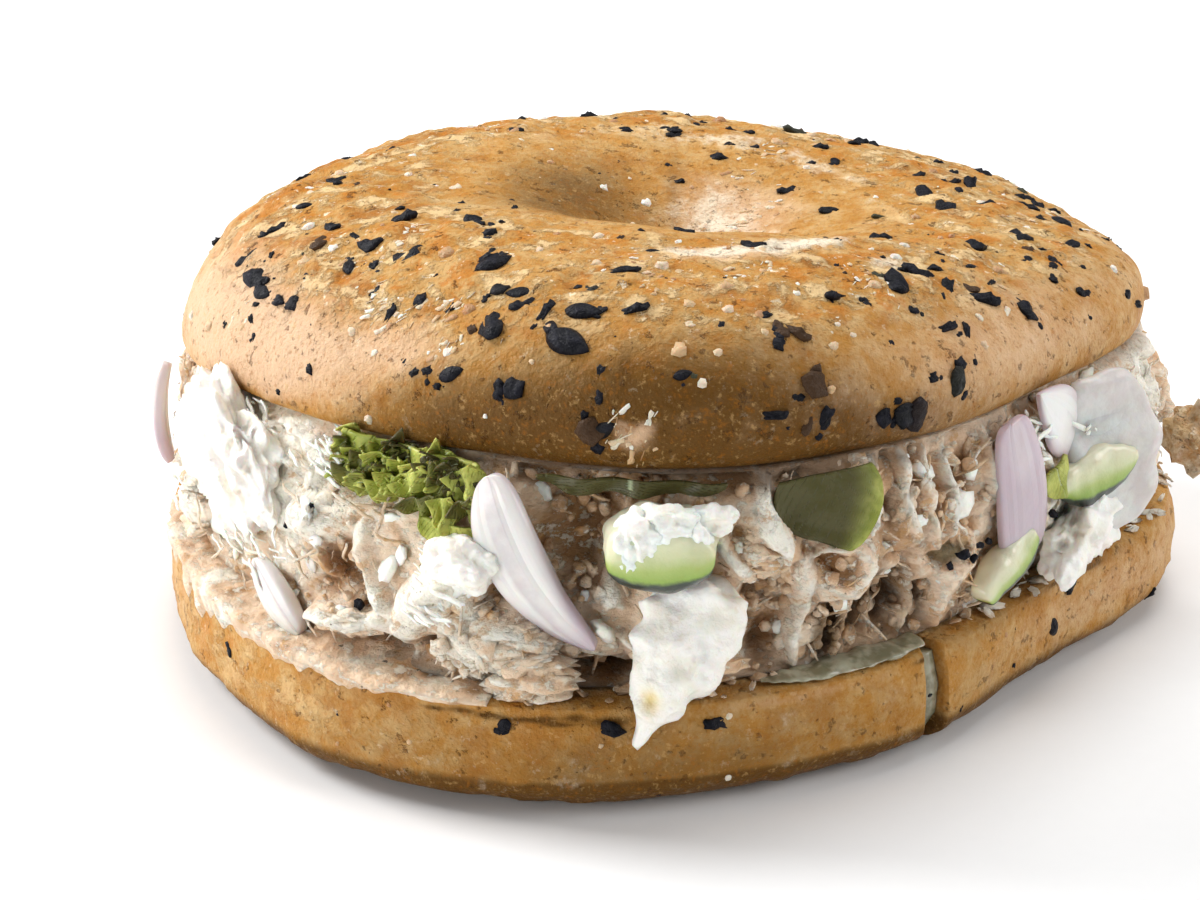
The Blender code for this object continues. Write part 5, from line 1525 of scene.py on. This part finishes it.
leaves = {
    "lettuceLeft": {"node": "lettuce_left", "at": (236, 1.02, 2.2), "size": (17, 9.5), "wave": 1.3,
                    "frills": 2, "ruffle": 0.9},
    "lettuceBit": {"node": "lettuce_bit", "at": (243.5, 0.74, 2.0), "size": (6.5, 4.2), "wave": 0.6,
                   "frills": 1, "ruffle": 0.7},
    # lettuceFront is a thin dark strip under the crown's lip: a dark leaf edge with painted shade on it
    "lettuceFront": {"node": "lettuce_front", "at": (264, 0.985, 0.6), "size": (19, 1.6), "wave": 0.6,
                     "frills": 3, "dim": 2.6},
    "leafFront": {"node": "leaf_front", "at": (286, 0.985, 1.8, 6, -8), "size": (11.5, 7.8), "wave": 0.5,
                  "frills": 1, "tip": 0.6, "dim": 1.7, "slant": -0.25, "roundness": 0.99},
    "leafRight": {"node": "leaf_right", "at": (326, 0.64, 1.4, 20), "size": (4.8, 4.0), "wave": 0.5,
                  "frills": 1},
    "lettuceBack": {"node": "lettuce_back", "at": (103, 0.94, 1.2), "size": (17, 6), "wave": 1.2,
                    "frills": 2, "ruffle": 0.8},
}
creamLumps = {  # half: half size out, along and up
    "creamLeft": {"node": "cream_left", "at": (205, 0.64, -0.4), "half": (3.4, 11, 8), "strands": 1.1},
    "creamLump": {"node": "cream_lump", "at": (246.5, 0.60, 2.8), "half": (2.8, 3.6, 2.8)},
    "creamRight": {"node": "cream_right", "at": (338, 0.20, 0.3), "half": (3.2, 11, 4.6), "strands": 0.5},
    "creamBack": {"node": "cream_back", "at": (22, 0.55, 0), "half": (2.8, 9, 4.4), "strands": 0.8},
}


def roundedSection(count, halfWidth, halfHeight, power):
    turn = 2 * np.pi * (np.arange(count) + 0.5) / count
    x, y = np.cos(turn), np.sin(turn)
    return halfWidth * np.copysign(np.abs(x) ** power, x), halfHeight * np.copysign(np.abs(y) ** power, y)


def stripRings(at, size, bend=0, blunt=0.5, taper=0, sweep=0, twist=0, steps=46, sides=36):
    length, width, thickness = (value * mm for value in size)
    arc = math.radians(bend)
    rings, across = [], []
    for k in range(1, steps):
        share = 0.5 - 0.5 * math.cos(math.pi * k / steps)
        along = share - 0.5
        radius = length / arc if arc else 0
        turn = along * arc
        centre = (radius * (math.cos(turn) - 1), radius * math.sin(turn)) if arc else (0, along * length)
        full = math.sin(math.pi * share) ** blunt * (1 - taper * along)
        x, z = roundedSection(sides, thickness / 2 * (0.55 + 0.45 * full), width / 2 * full, 0.6)
        sag = sweep * mm * (4 * along * along - 1)
        rings.append(np.stack((centre[0] + x * math.cos(turn), centre[1] + x * math.sin(turn), z + sag), -1))
        across.append(z / (width / 2 * max(full, 0.01)))
    turned = sideFrame(*at[:3]) @ Matrix.Rotation(math.radians(twist), 4, "Z")
    return moved(np.array(rings), turned @ sideFrame(*at[:3]).inverted() @ sideFrame(*at)), np.array(across)


def buildOnions(finish, veil):
    for name, piece in onionSlices.items():
        shape = {k: v for k, v in piece.items() if k not in ("node", "tint", "crumple")}
        rings, across = stripRings(**shape)
        normals = gridNormals(rings)
        along = np.linspace(-1, 1, len(rings))[:, None]
        fibre = ripple(np.stack((across * 3.2, along * 0.8 + 0 * across, 0 * across), -1), 1.0, len(name))
        crumple = piece.get("crumple", 0.15) * mm * ripple(rings, 4.5 * mm, len(name))
        rings = rings + normals * (0.06 * mm * fibre + crumple)[..., None]
        edge = np.clip(np.abs(across) ** 3 * 0.6 + 0.75 * np.clip(along + 0.3, 0, 1) ** 1.5, 0, 1)
        tint = piece.get("tint", 1)
        edge = edge * tint + max(0, tint - 1) * 0.55
        points, faces = skin(rings[:, ::-1])
        points = heldBetweenCuts(points)
        streak = (fibre + 0.5) * min(1, 0.4 + tint)
        mesh = buildMesh(name, points, faces, edge=edge[:, ::-1], streak=streak[:, ::-1])
        place(name, mesh, finish if tint else veil, piece["node"], "onion")


def buildCucumber(finish):
    for name, piece in cucumberPieces.items():
        rings, across = stripRings(**{k: v for k, v in piece.items() if k != "node"})
        normals = gridNormals(rings)
        soft = ripple(rings, 3.4 * mm, len(name)) * 0.7 + ripple(rings, 1.4 * mm) * 0.25
        rings = rings + normals * (soft * mm * (1 - 0.6 * np.clip(-across, 0, 1)))[..., None]
        level = 0.5 - 0.58 * across
        points, faces = skin(rings[:, ::-1])
        mesh = buildMesh(name, heldBetweenCuts(points), faces, skin=level[:, ::-1])
        place(name, mesh, finish, piece["node"], "cucumber")


def leafSheet(at, size, wave, frills, tip=0.55, ruffle=0.25, thickness=0.5, dim=0.1, slant=0.0,
              roundness=0.0, columns=84, rows=34):
    width, height = (value * mm for value in size)
    u, v = np.meshgrid(np.linspace(0, 1, columns + 1), np.linspace(0, 1, rows + 1))
    narrow = (1 - roundness) + roundness * np.sqrt(np.clip(1 - ((v - 0.35) / 0.65) ** 2, 0, 1))
    aside = (u - 0.5) * width * (1 - tip * (1 - roundness) * v**2.5) * narrow
    turn = frills * 2 * np.pi * aside / width
    out = wave * mm * np.sin(turn + 1.3 * v) * (0.35 + 0.65 * v)
    rim = np.clip((v - 0.45) / 0.55, 0, 1) + np.clip((np.abs(u - 0.5) - 0.33) / 0.17, 0, 1)
    flat = np.stack((aside, -height * v, 0 * u), -1)
    out = out + ruffle * mm * np.minimum(rim, 1) * ripple(flat, 1.8 * mm, wave) * 1.6
    out = out + 0.25 * mm * ripple(flat, 2.4 * mm, wave + 1)
    down = -height * v * (1 + 0.12 * np.sin(turn) + 0.16 * ruffle * ripple(flat, 1.6 * mm, wave + 2) * v)
    middle = np.stack((out, aside, down), -1)
    normals = np.cross(np.gradient(middle, axis=1), np.gradient(middle, axis=0))
    normals /= np.maximum(np.linalg.norm(normals, axis=-1, keepdims=True), 1e-12)
    if normals[..., 0].mean() < 0:
        normals = -normals
    half = thickness / 2 * mm * (1 - 0.5 * v)[..., None] * normals
    front, back = (middle + half).reshape(-1, 3), (middle - half).reshape(-1, 3)
    shift = len(front)
    index = np.arange(shift).reshape(u.shape)
    a, b, c, d = index[:-1, :-1], index[:-1, 1:], index[1:, 1:], index[1:, :-1]
    quads = np.stack((d, c, b, a), -1).reshape(-1, 4)
    faces = quads.tolist() + (quads[:, ::-1] + shift).tolist()
    border = np.concatenate((index[0, :-1], index[:-1, -1], index[-1, :0:-1], index[:0:-1, 0])).tolist()
    faces += [(p, q, q + shift, p + shift) for p, q in zip(border, border[1:] + border[:1])]
    fromStem = (aside - slant * (v - 0.4) * width) / (0.022 * width)
    stemHere = np.exp(-(fromStem**2)) * (0.5 + 0.4 * (v < 0.6))
    side = np.abs((np.abs(aside) / width * 2.2 - v * 1.1) * 5 % 1 - 0.5) * 2
    stemStrength, sideStrength, brighter = (0.3, 0.3, 0.9) if slant else (1, 0.6, 0.2)
    vein = np.clip(stemStrength * stemHere + sideStrength * (side > 0.9), 0, 1)
    # darker towards one side and, as painted shade, towards the top edge that lies under the crown
    darker = dim * (1.1 - brighter * u) + 0.35 * (1 - v) - 0.1
    fields = {"vein": np.tile(vein.ravel(), 2), "dim": np.tile(darker.ravel(), 2)}
    return moved(np.vstack((front, back)), sideFrame(*at)), faces, fields


scraps = {  # curly scraps in front of the large frilly leaf
    "count": 44,
    "first": 227.5,  # angle
    "step": 0.41,
    "top": 1.02,  # share
    "drop": 0.19,
    "dims": (0, 0, 0, 0.3, 0.6, 1.0),
}


def buildLeaves(finish):
    for name, leaf in leaves.items():
        points, faces, fields = leafSheet(**{k: v for k, v in leaf.items() if k != "node"})
        mesh = buildMesh(name, heldBetweenCuts(points), faces, **fields)
        place(name, mesh, finish, leaf["node"], "leaf")
    sheets = []
    draw = random.Random(8)
    for k in range(scraps["count"]):
        angle = scraps["first"] + scraps["step"] * k
        share = scraps["top"] - draw.random() ** 1.4 * scraps["drop"]
        at = (angle, share, draw.uniform(0.8, 3.2), draw.uniform(-70, 70), draw.uniform(-40, 30))
        size = (draw.uniform(2.0, 5.0), draw.uniform(1.5, 3.4))
        dim = draw.choice(scraps["dims"])
        sheets.append(leafSheet(at, size, 0.8, 1.8, 0.4, 1.3, 0.24, dim, 0, 0.3, 24, 16))
    points, faces = joined([sheet[:2] for sheet in sheets])
    fields = {key: np.concatenate([sheet[2][key] for sheet in sheets]) for key in ("vein", "dim")}
    mesh = buildMesh("lettuceScraps", heldBetweenCuts(points), faces, **fields)
    place("lettuceScraps", mesh, finish, "lettuce_left", "leaf")


def lumpRings(frameHere, half, rough, salt, tiers, sides, smear, strands=0.0):
    tilt = np.pi * np.arange(1, tiers) / tiers
    turn = 2 * np.pi * np.arange(sides) / sides
    wide, low = np.sin(tilt)[:, None], -np.cos(tilt)[:, None]
    ball = np.stack(np.broadcast_arrays(wide * np.cos(turn), low, wide * np.sin(turn)), -1)
    bulge = 1 + rough * ripple(ball, 1 / 1.7, salt) + 0.4 * rough * ripple(ball, 0.25, salt + 1)
    points = ball * bulge[..., None] * np.array(half) * mm
    normals = ball / np.linalg.norm(ball, axis=-1, keepdims=True)
    fine = smear * mm * (ripple(points, 2.2 * mm, salt) + 0.5 * np.abs(ripple(points, 0.9 * mm, salt)))
    if strands:  # drawn out on a slant, like something spread with a knife
        x, y, z = np.moveaxis(points, -1, 0)
        slant = np.stack((x, y + z, (z - y) * 0.12), -1)
        fine = fine + strands * mm * (1 - 2.4 * np.abs(ripple(slant, 2.0 * mm, salt))) - 0.3 * strands * mm
    return moved(points + normals * fine[..., None], frameHere)


def buildCream(finish):
    for number, (name, lump) in enumerate(creamLumps.items()):
        strands = lump.get("strands", 0)
        rings = lumpRings(sideFrame(*lump["at"]), lump["half"], 0.35, number, 90, 110, 0.5, strands)
        points, faces = skin(rings[:, ::-1])
        mesh = buildMesh(name, heldBetweenCuts(points), faces, stain=np.zeros(len(points)))
        place(name, mesh, finish, lump["node"], "cream")


drip = {  # angle, height, distance from the axis, half width, half thickness on the way down
    "stations": (
        (271.5, 25.5, 52.5, 3.0, 1.6), (271.0, 23.5, 53.6, 5.4, 2.2), (270.2, 20.0, 54.6, 5.2, 2.5),
        (269.2, 16.5, 55.6, 4.4, 2.3), (267.6, 13.2, 56.3, 2.4, 1.9), (266.2, 10.8, 56.3, 1.1, 1.2),
        (265.2, 8.6, 56.0, 0.5, 0.7),
    ),
    "stain": {"angle": 266.6, "height": 14.5, "wide": 0.9, "tall": 1.3},  # the yellow spot
}


def buildDrip(finish):
    stations = np.array(drip["stations"])[::-1]
    way = np.linspace(0, len(stations) - 1, 70)
    values = [np.interp(way, np.arange(len(stations)), stations[:, k]) for k in range(5)]
    kernel = np.ones(7) / 7
    values = [np.convolve(np.pad(row, 3, "edge"), kernel, "valid") for row in values]
    rings = []
    for angle, height, radius, halfWidth, halfDepth in zip(*values):
        turn = Matrix.Rotation(math.radians(angle), 4, "Z")
        frameHere = Matrix.Translation(Vector(polar(angle, radius * mm, height * mm))) @ turn
        x, y = roundedSection(48, halfDepth * mm, halfWidth * mm, 0.9)
        rings.append(moved(np.stack((x, y, 0 * x), -1), frameHere))
    rings = np.array(rings)
    normals = gridNormals(rings)
    folds = 0.4 - 1.9 * np.abs(ripple(rings, 3.6 * mm, 3))
    rough = 0.7 * ripple(rings, 2.6 * mm, 1) + 0.3 * ripple(rings, 1.1 * mm, 2) + folds
    size = np.clip(values[3] / 3, 0.25, 1)[:, None]
    rings = rings + normals * (rough * mm * size)[..., None]
    points, faces = skin(rings, rings[0].mean(0) - (0, 0, 0.8 * mm), rings[-1].mean(0) + (0, 0, 0.9 * mm))
    angle = np.degrees(np.arctan2(points[:, 1], points[:, 0])) % 360
    aside = (angle - drip["stain"]["angle"]) / drip["stain"]["wide"]
    above = (points[:, 2] / mm - drip["stain"]["height"]) / drip["stain"]["tall"]
    stain = np.exp(-(aside**2) - above**2)
    mesh = buildMesh("creamDrip", points, faces, stain=stain * 0.8)
    place("creamDrip", mesh, finish, "cream_drip", "cream")


streak = {
    "heights": (1.2, 4, 7.5, 11),
    "behind": (2.6, 1.0, 0.8, 1.8),  # how far its face lies behind the crust at these heights
    "deep": 2.4,
}


def buildDressing(finish):  # the streak that fills the split
    reach = float(around(heel["reach"], heel["splitAngle"]))
    turn = np.array(Matrix.Rotation(math.radians(heel["splitAngle"]), 4, "Z"))[:3, :3]
    heights = np.linspace(streak["heights"][0], streak["heights"][-1], 40)
    rings = []
    for height, face in zip(heights, np.interp(heights, streak["heights"], streak["behind"])):
        back = face + streak["deep"]
        ring = []
        for k in range(12):  # the face bulges a little between the two lips
            side = -1 + 2 * k / 11
            wide = heel["splitWidth"] / 2 * (1 - face * mm / heel["splitDepth"]) - 0.2 * mm
            ring.append((reach - (face + 0.35 * side * side) * mm, side * wide, height * mm))
        for side in (0.6, -0.6):
            wide = heel["splitWidth"] / 2 * (1 - back * mm / heel["splitDepth"]) - 0.1 * mm
            ring.append((reach - back * mm, side * wide, height * mm))
        rings.append(ring)
    rings = np.array(rings) @ turn.T
    points, faces = skin(rings)
    mesh = buildMesh("dressingStreak", points, faces)
    place("dressingStreak", mesh, finish, "dressing_streak", "dressing")


film = {"from": 279, "to": 301.6, "inward": 2.6 * mm, "half": 2.1 * mm, "thick": 0.5 * mm}


def buildFilm(finish):  # dressing that lies along the rim of the lower half
    angles = np.linspace(film["from"], film["to"], 110)
    girth = np.sin(np.linspace(0.10, np.pi - 0.6, 110)) ** 0.7
    x, y = roundedSection(28, 1, 1, 0.8)
    rings = []
    for angle, wide in zip(angles, girth):
        radius = float(around(heel["reach"], angle)) - film["inward"]
        turn = Matrix.Rotation(math.radians(angle), 4, "Z")
        frameHere = Matrix.Translation(Vector(polar(angle, radius, 0.0))) @ turn
        level = heelCut(radius * math.cos(math.radians(angle))) + film["thick"]
        ring = np.stack((x * film["half"] * wide, 0 * x, y * film["thick"] * wide + level), -1)
        rings.append(moved(ring, frameHere))
    rings = np.array(rings)
    rough = 0.9 * ripple(rings, 3.2 * mm, 4) + 0.5 * ripple(rings, 1.1 * mm, 5)
    rings = rings + gridNormals(rings) * (rough * 0.5 * mm)[..., None]
    points, faces = skin(rings)
    mesh = buildMesh("dressingFilm", heldBetweenCuts(points), faces)
    place("dressingFilm", mesh, finish, "dressing_streak", "dressing")


chunkCream = (  # angle, share, out and half size of each lump on the chunk
    (265.4, 0.80, 3.7, (2.7, 2.6, 2.9)), (268.2, 0.86, 3.5, (2.4, 3.2, 1.9)),
    (270.7, 0.81, 3.3, (2.1, 2.0, 2.3)), (264.2, 0.73, 3.4, (1.8, 1.5, 2.6)),
    (272.8, 0.86, 2.6, (1.8, 2.4, 1.4)),
)


def buildCucumberCream(finish):
    parts = []
    for number, (angle, share, out, half) in enumerate(chunkCream):
        rings = lumpRings(sideFrame(angle, share, out), half, 0.34, 3.0 * number, 44, 54, 0.20)
        parts.append(skin(rings[:, ::-1]))
    points, faces = joined(parts)
    mesh = buildMesh("cucumberCream", heldBetweenCuts(points), faces, stain=np.zeros(len(points)))
    place("cucumberCream", mesh, finish, "cucumber_chunk", "cream")


spread = {"from": 186, "to": 250, "ledge": 0.84, "reach": 0.06, "more": 0.10, "thick": 0.9 * mm}


def buildSpread(finish):  # salad pressed out over the rim of the lower half
    angles = np.linspace(spread["from"], spread["to"], 440)
    fromLeft, fromRight = (angles - spread["from"]) / 8, (spread["to"] + 0.5 - angles) / 20
    ends = np.minimum(np.clip(fromLeft, 0, 1), np.clip(fromRight, 0, 1)) ** 0.7
    ledge, side = np.linspace(0, 1, 22, endpoint=False)[:, None], np.linspace(0, 1, 36)[:, None]
    top = polar(angles, around(heel["reach"], angles) * (spread["ledge"] + 0.145 * ledge), 0.0)
    top[..., 2] = heelCut(top[..., 0])
    line = heelSide(angles, 0.9)
    ragged = 1 + 1.1 * ripple(line, 4 * mm, 1) + 0.8 * ripple(line, 1.5 * mm, 2)
    reach = (spread["reach"] + spread["more"] * spot(angles, 0, 206, 0, 14, 1)) * ends * ragged
    outer = np.concatenate((top, heelSide(angles, 1.0 - np.clip(reach, 0.01, 1) * side)))
    inside = polar(angles, around(heel["reach"], angles) * 0.8, 5 * mm)
    normals = outer - inside
    normals /= np.linalg.norm(normals, axis=-1, keepdims=True)
    way = np.concatenate((0 * ledge, side))
    thick = spread["thick"] * (1 - way**2 + ripple(outer, 3.4 * mm, 3))
    thick = (thick + 0.35 * mm * ripple(outer, 1.1 * mm, 4)) * (0.3 + 0.7 * ends)
    thick = np.where(way < 1, np.maximum(thick, 0.02 * mm) - 0.10 * mm * way, -0.15 * mm)
    front, back = outer + normals * thick[..., None], outer - normals * 0.6 * mm
    rings = np.swapaxes(np.concatenate((front, back[::-1])), 0, 1)
    points, faces = skin(rings)
    none = np.zeros(len(points))
    creamy, tone = 0.15 + 1.1 * ripple(points, 4 * mm, 6), 0.5 + 0.5 * ripple(points, 2 * mm, 8)
    brown = np.clip(1.1 * ripple(points, 3 * mm, 7), 0, 1)
    mesh = buildMesh("rimSpread", points, faces, creamy=creamy, brown=brown, tone=tone, olive=none, deep=none)
    place("rimSpread", mesh, finish, "tuna_salad", "salad")


rimBits = {"count": 260, "split": (283, 309), "from": 250}  # angles without bits, and where they start


def buildRimBits(finish):  # flakes that have fallen on the rim of the lower half
    draw = random.Random(33)
    bits = []
    for _ in range(rimBits["count"]):
        angle = draw.uniform(196, 560)
        if rimBits["split"][0] < angle < rimBits["split"][1]:
            continue
        radius = float(around(heel["reach"], angle)) * draw.uniform(0.925, 0.985)
        at = polar(angle, radius, 0.0)
        at[2] = heelCut(at[0]) + draw.uniform(0, 0.4) * mm
        wide = draw.uniform(0.9, 3.0) * mm
        if angle < rimBits["from"]:
            continue
        facing = Vector((draw.gauss(0, 0.5), draw.gauss(0, 0.5), 1)).normalized()
        heading = Vector((draw.gauss(0, 1), draw.gauss(0, 1), 0))
        bits.append({"at": at, "facing": facing, "heading": heading, "size": (wide, wide, wide * 0.6)})
    shapes = [fishShape(f"rimFlake{k}", k + 20) for k in range(7)]
    scattered("rimBits", bits, shapes, finish, "tuna_salad", "salad", (0.7, 1.2), 15, heldBetweenCuts,
              tintBySalad)


crumb = {"angle": 354, "radius": 59.6 * mm, "height": 21 * mm, "half": (3.4, 2.8, 3.6)}


def buildCrumb(finish):
    frameHere = Matrix.Translation(Vector(polar(crumb["angle"], crumb["radius"], crumb["height"])))
    rings = lumpRings(frameHere, crumb["half"], 0.5, 0.0, 30, 36, 0.45)
    points, faces = skin(rings[:, ::-1])
    ones = np.ones(len(points))
    mesh = buildMesh("crustCrumb", points, faces, pale=0.5 * ones, dark=0 * ones, crumb=0 * ones,
                     rough=ones, white=0.35 * ones)
    place("crustCrumb", mesh, finish, "crust_crumb", "crust")


def toppingTree(toppings):  # where they are, so that loose flakes keep off them
    points = [v.co.copy() for topping in toppings for v in list(topping.data.vertices)[::3]]
    tree = kdtree.KDTree(len(points))
    for number, point in enumerate(points):
        tree.insert(point, number)
    tree.balance()
    return tree


buildCamera()
buildLights()
buildFloor()
crustLook = crustFinish()
buildCrown(crustLook)
buildHeel(crustLook)
print("bread made")
creamLook = creamFinish()
buildOnions(onionFinish(), veilFinish())
buildCucumber(cucumberFinish())
buildLeaves(leafFinish())
buildCream(creamLook)
buildDrip(creamLook)
dressingLook = dressingFinish()
buildDressing(dressingLook)
buildFilm(dressingLook)
buildCucumberCream(creamLook)
buildCrumb(crustLook)
print("toppings made")
bread = ("bagelCrown", "bagelHeel")
toppings = toppingTree([piece for piece in placed if piece.name not in bread])
fishLook = fishFinish()
buildSaladCore(fishLook)
buildFishChunks(fishLook)
buildSaladBits(fishLook, creamLook, toppings)
buildSpread(fishLook)
buildRimBits(fishLook)
buildSeeds(seedFinish(), paleGrainFinish())
print("salad and seeds made")
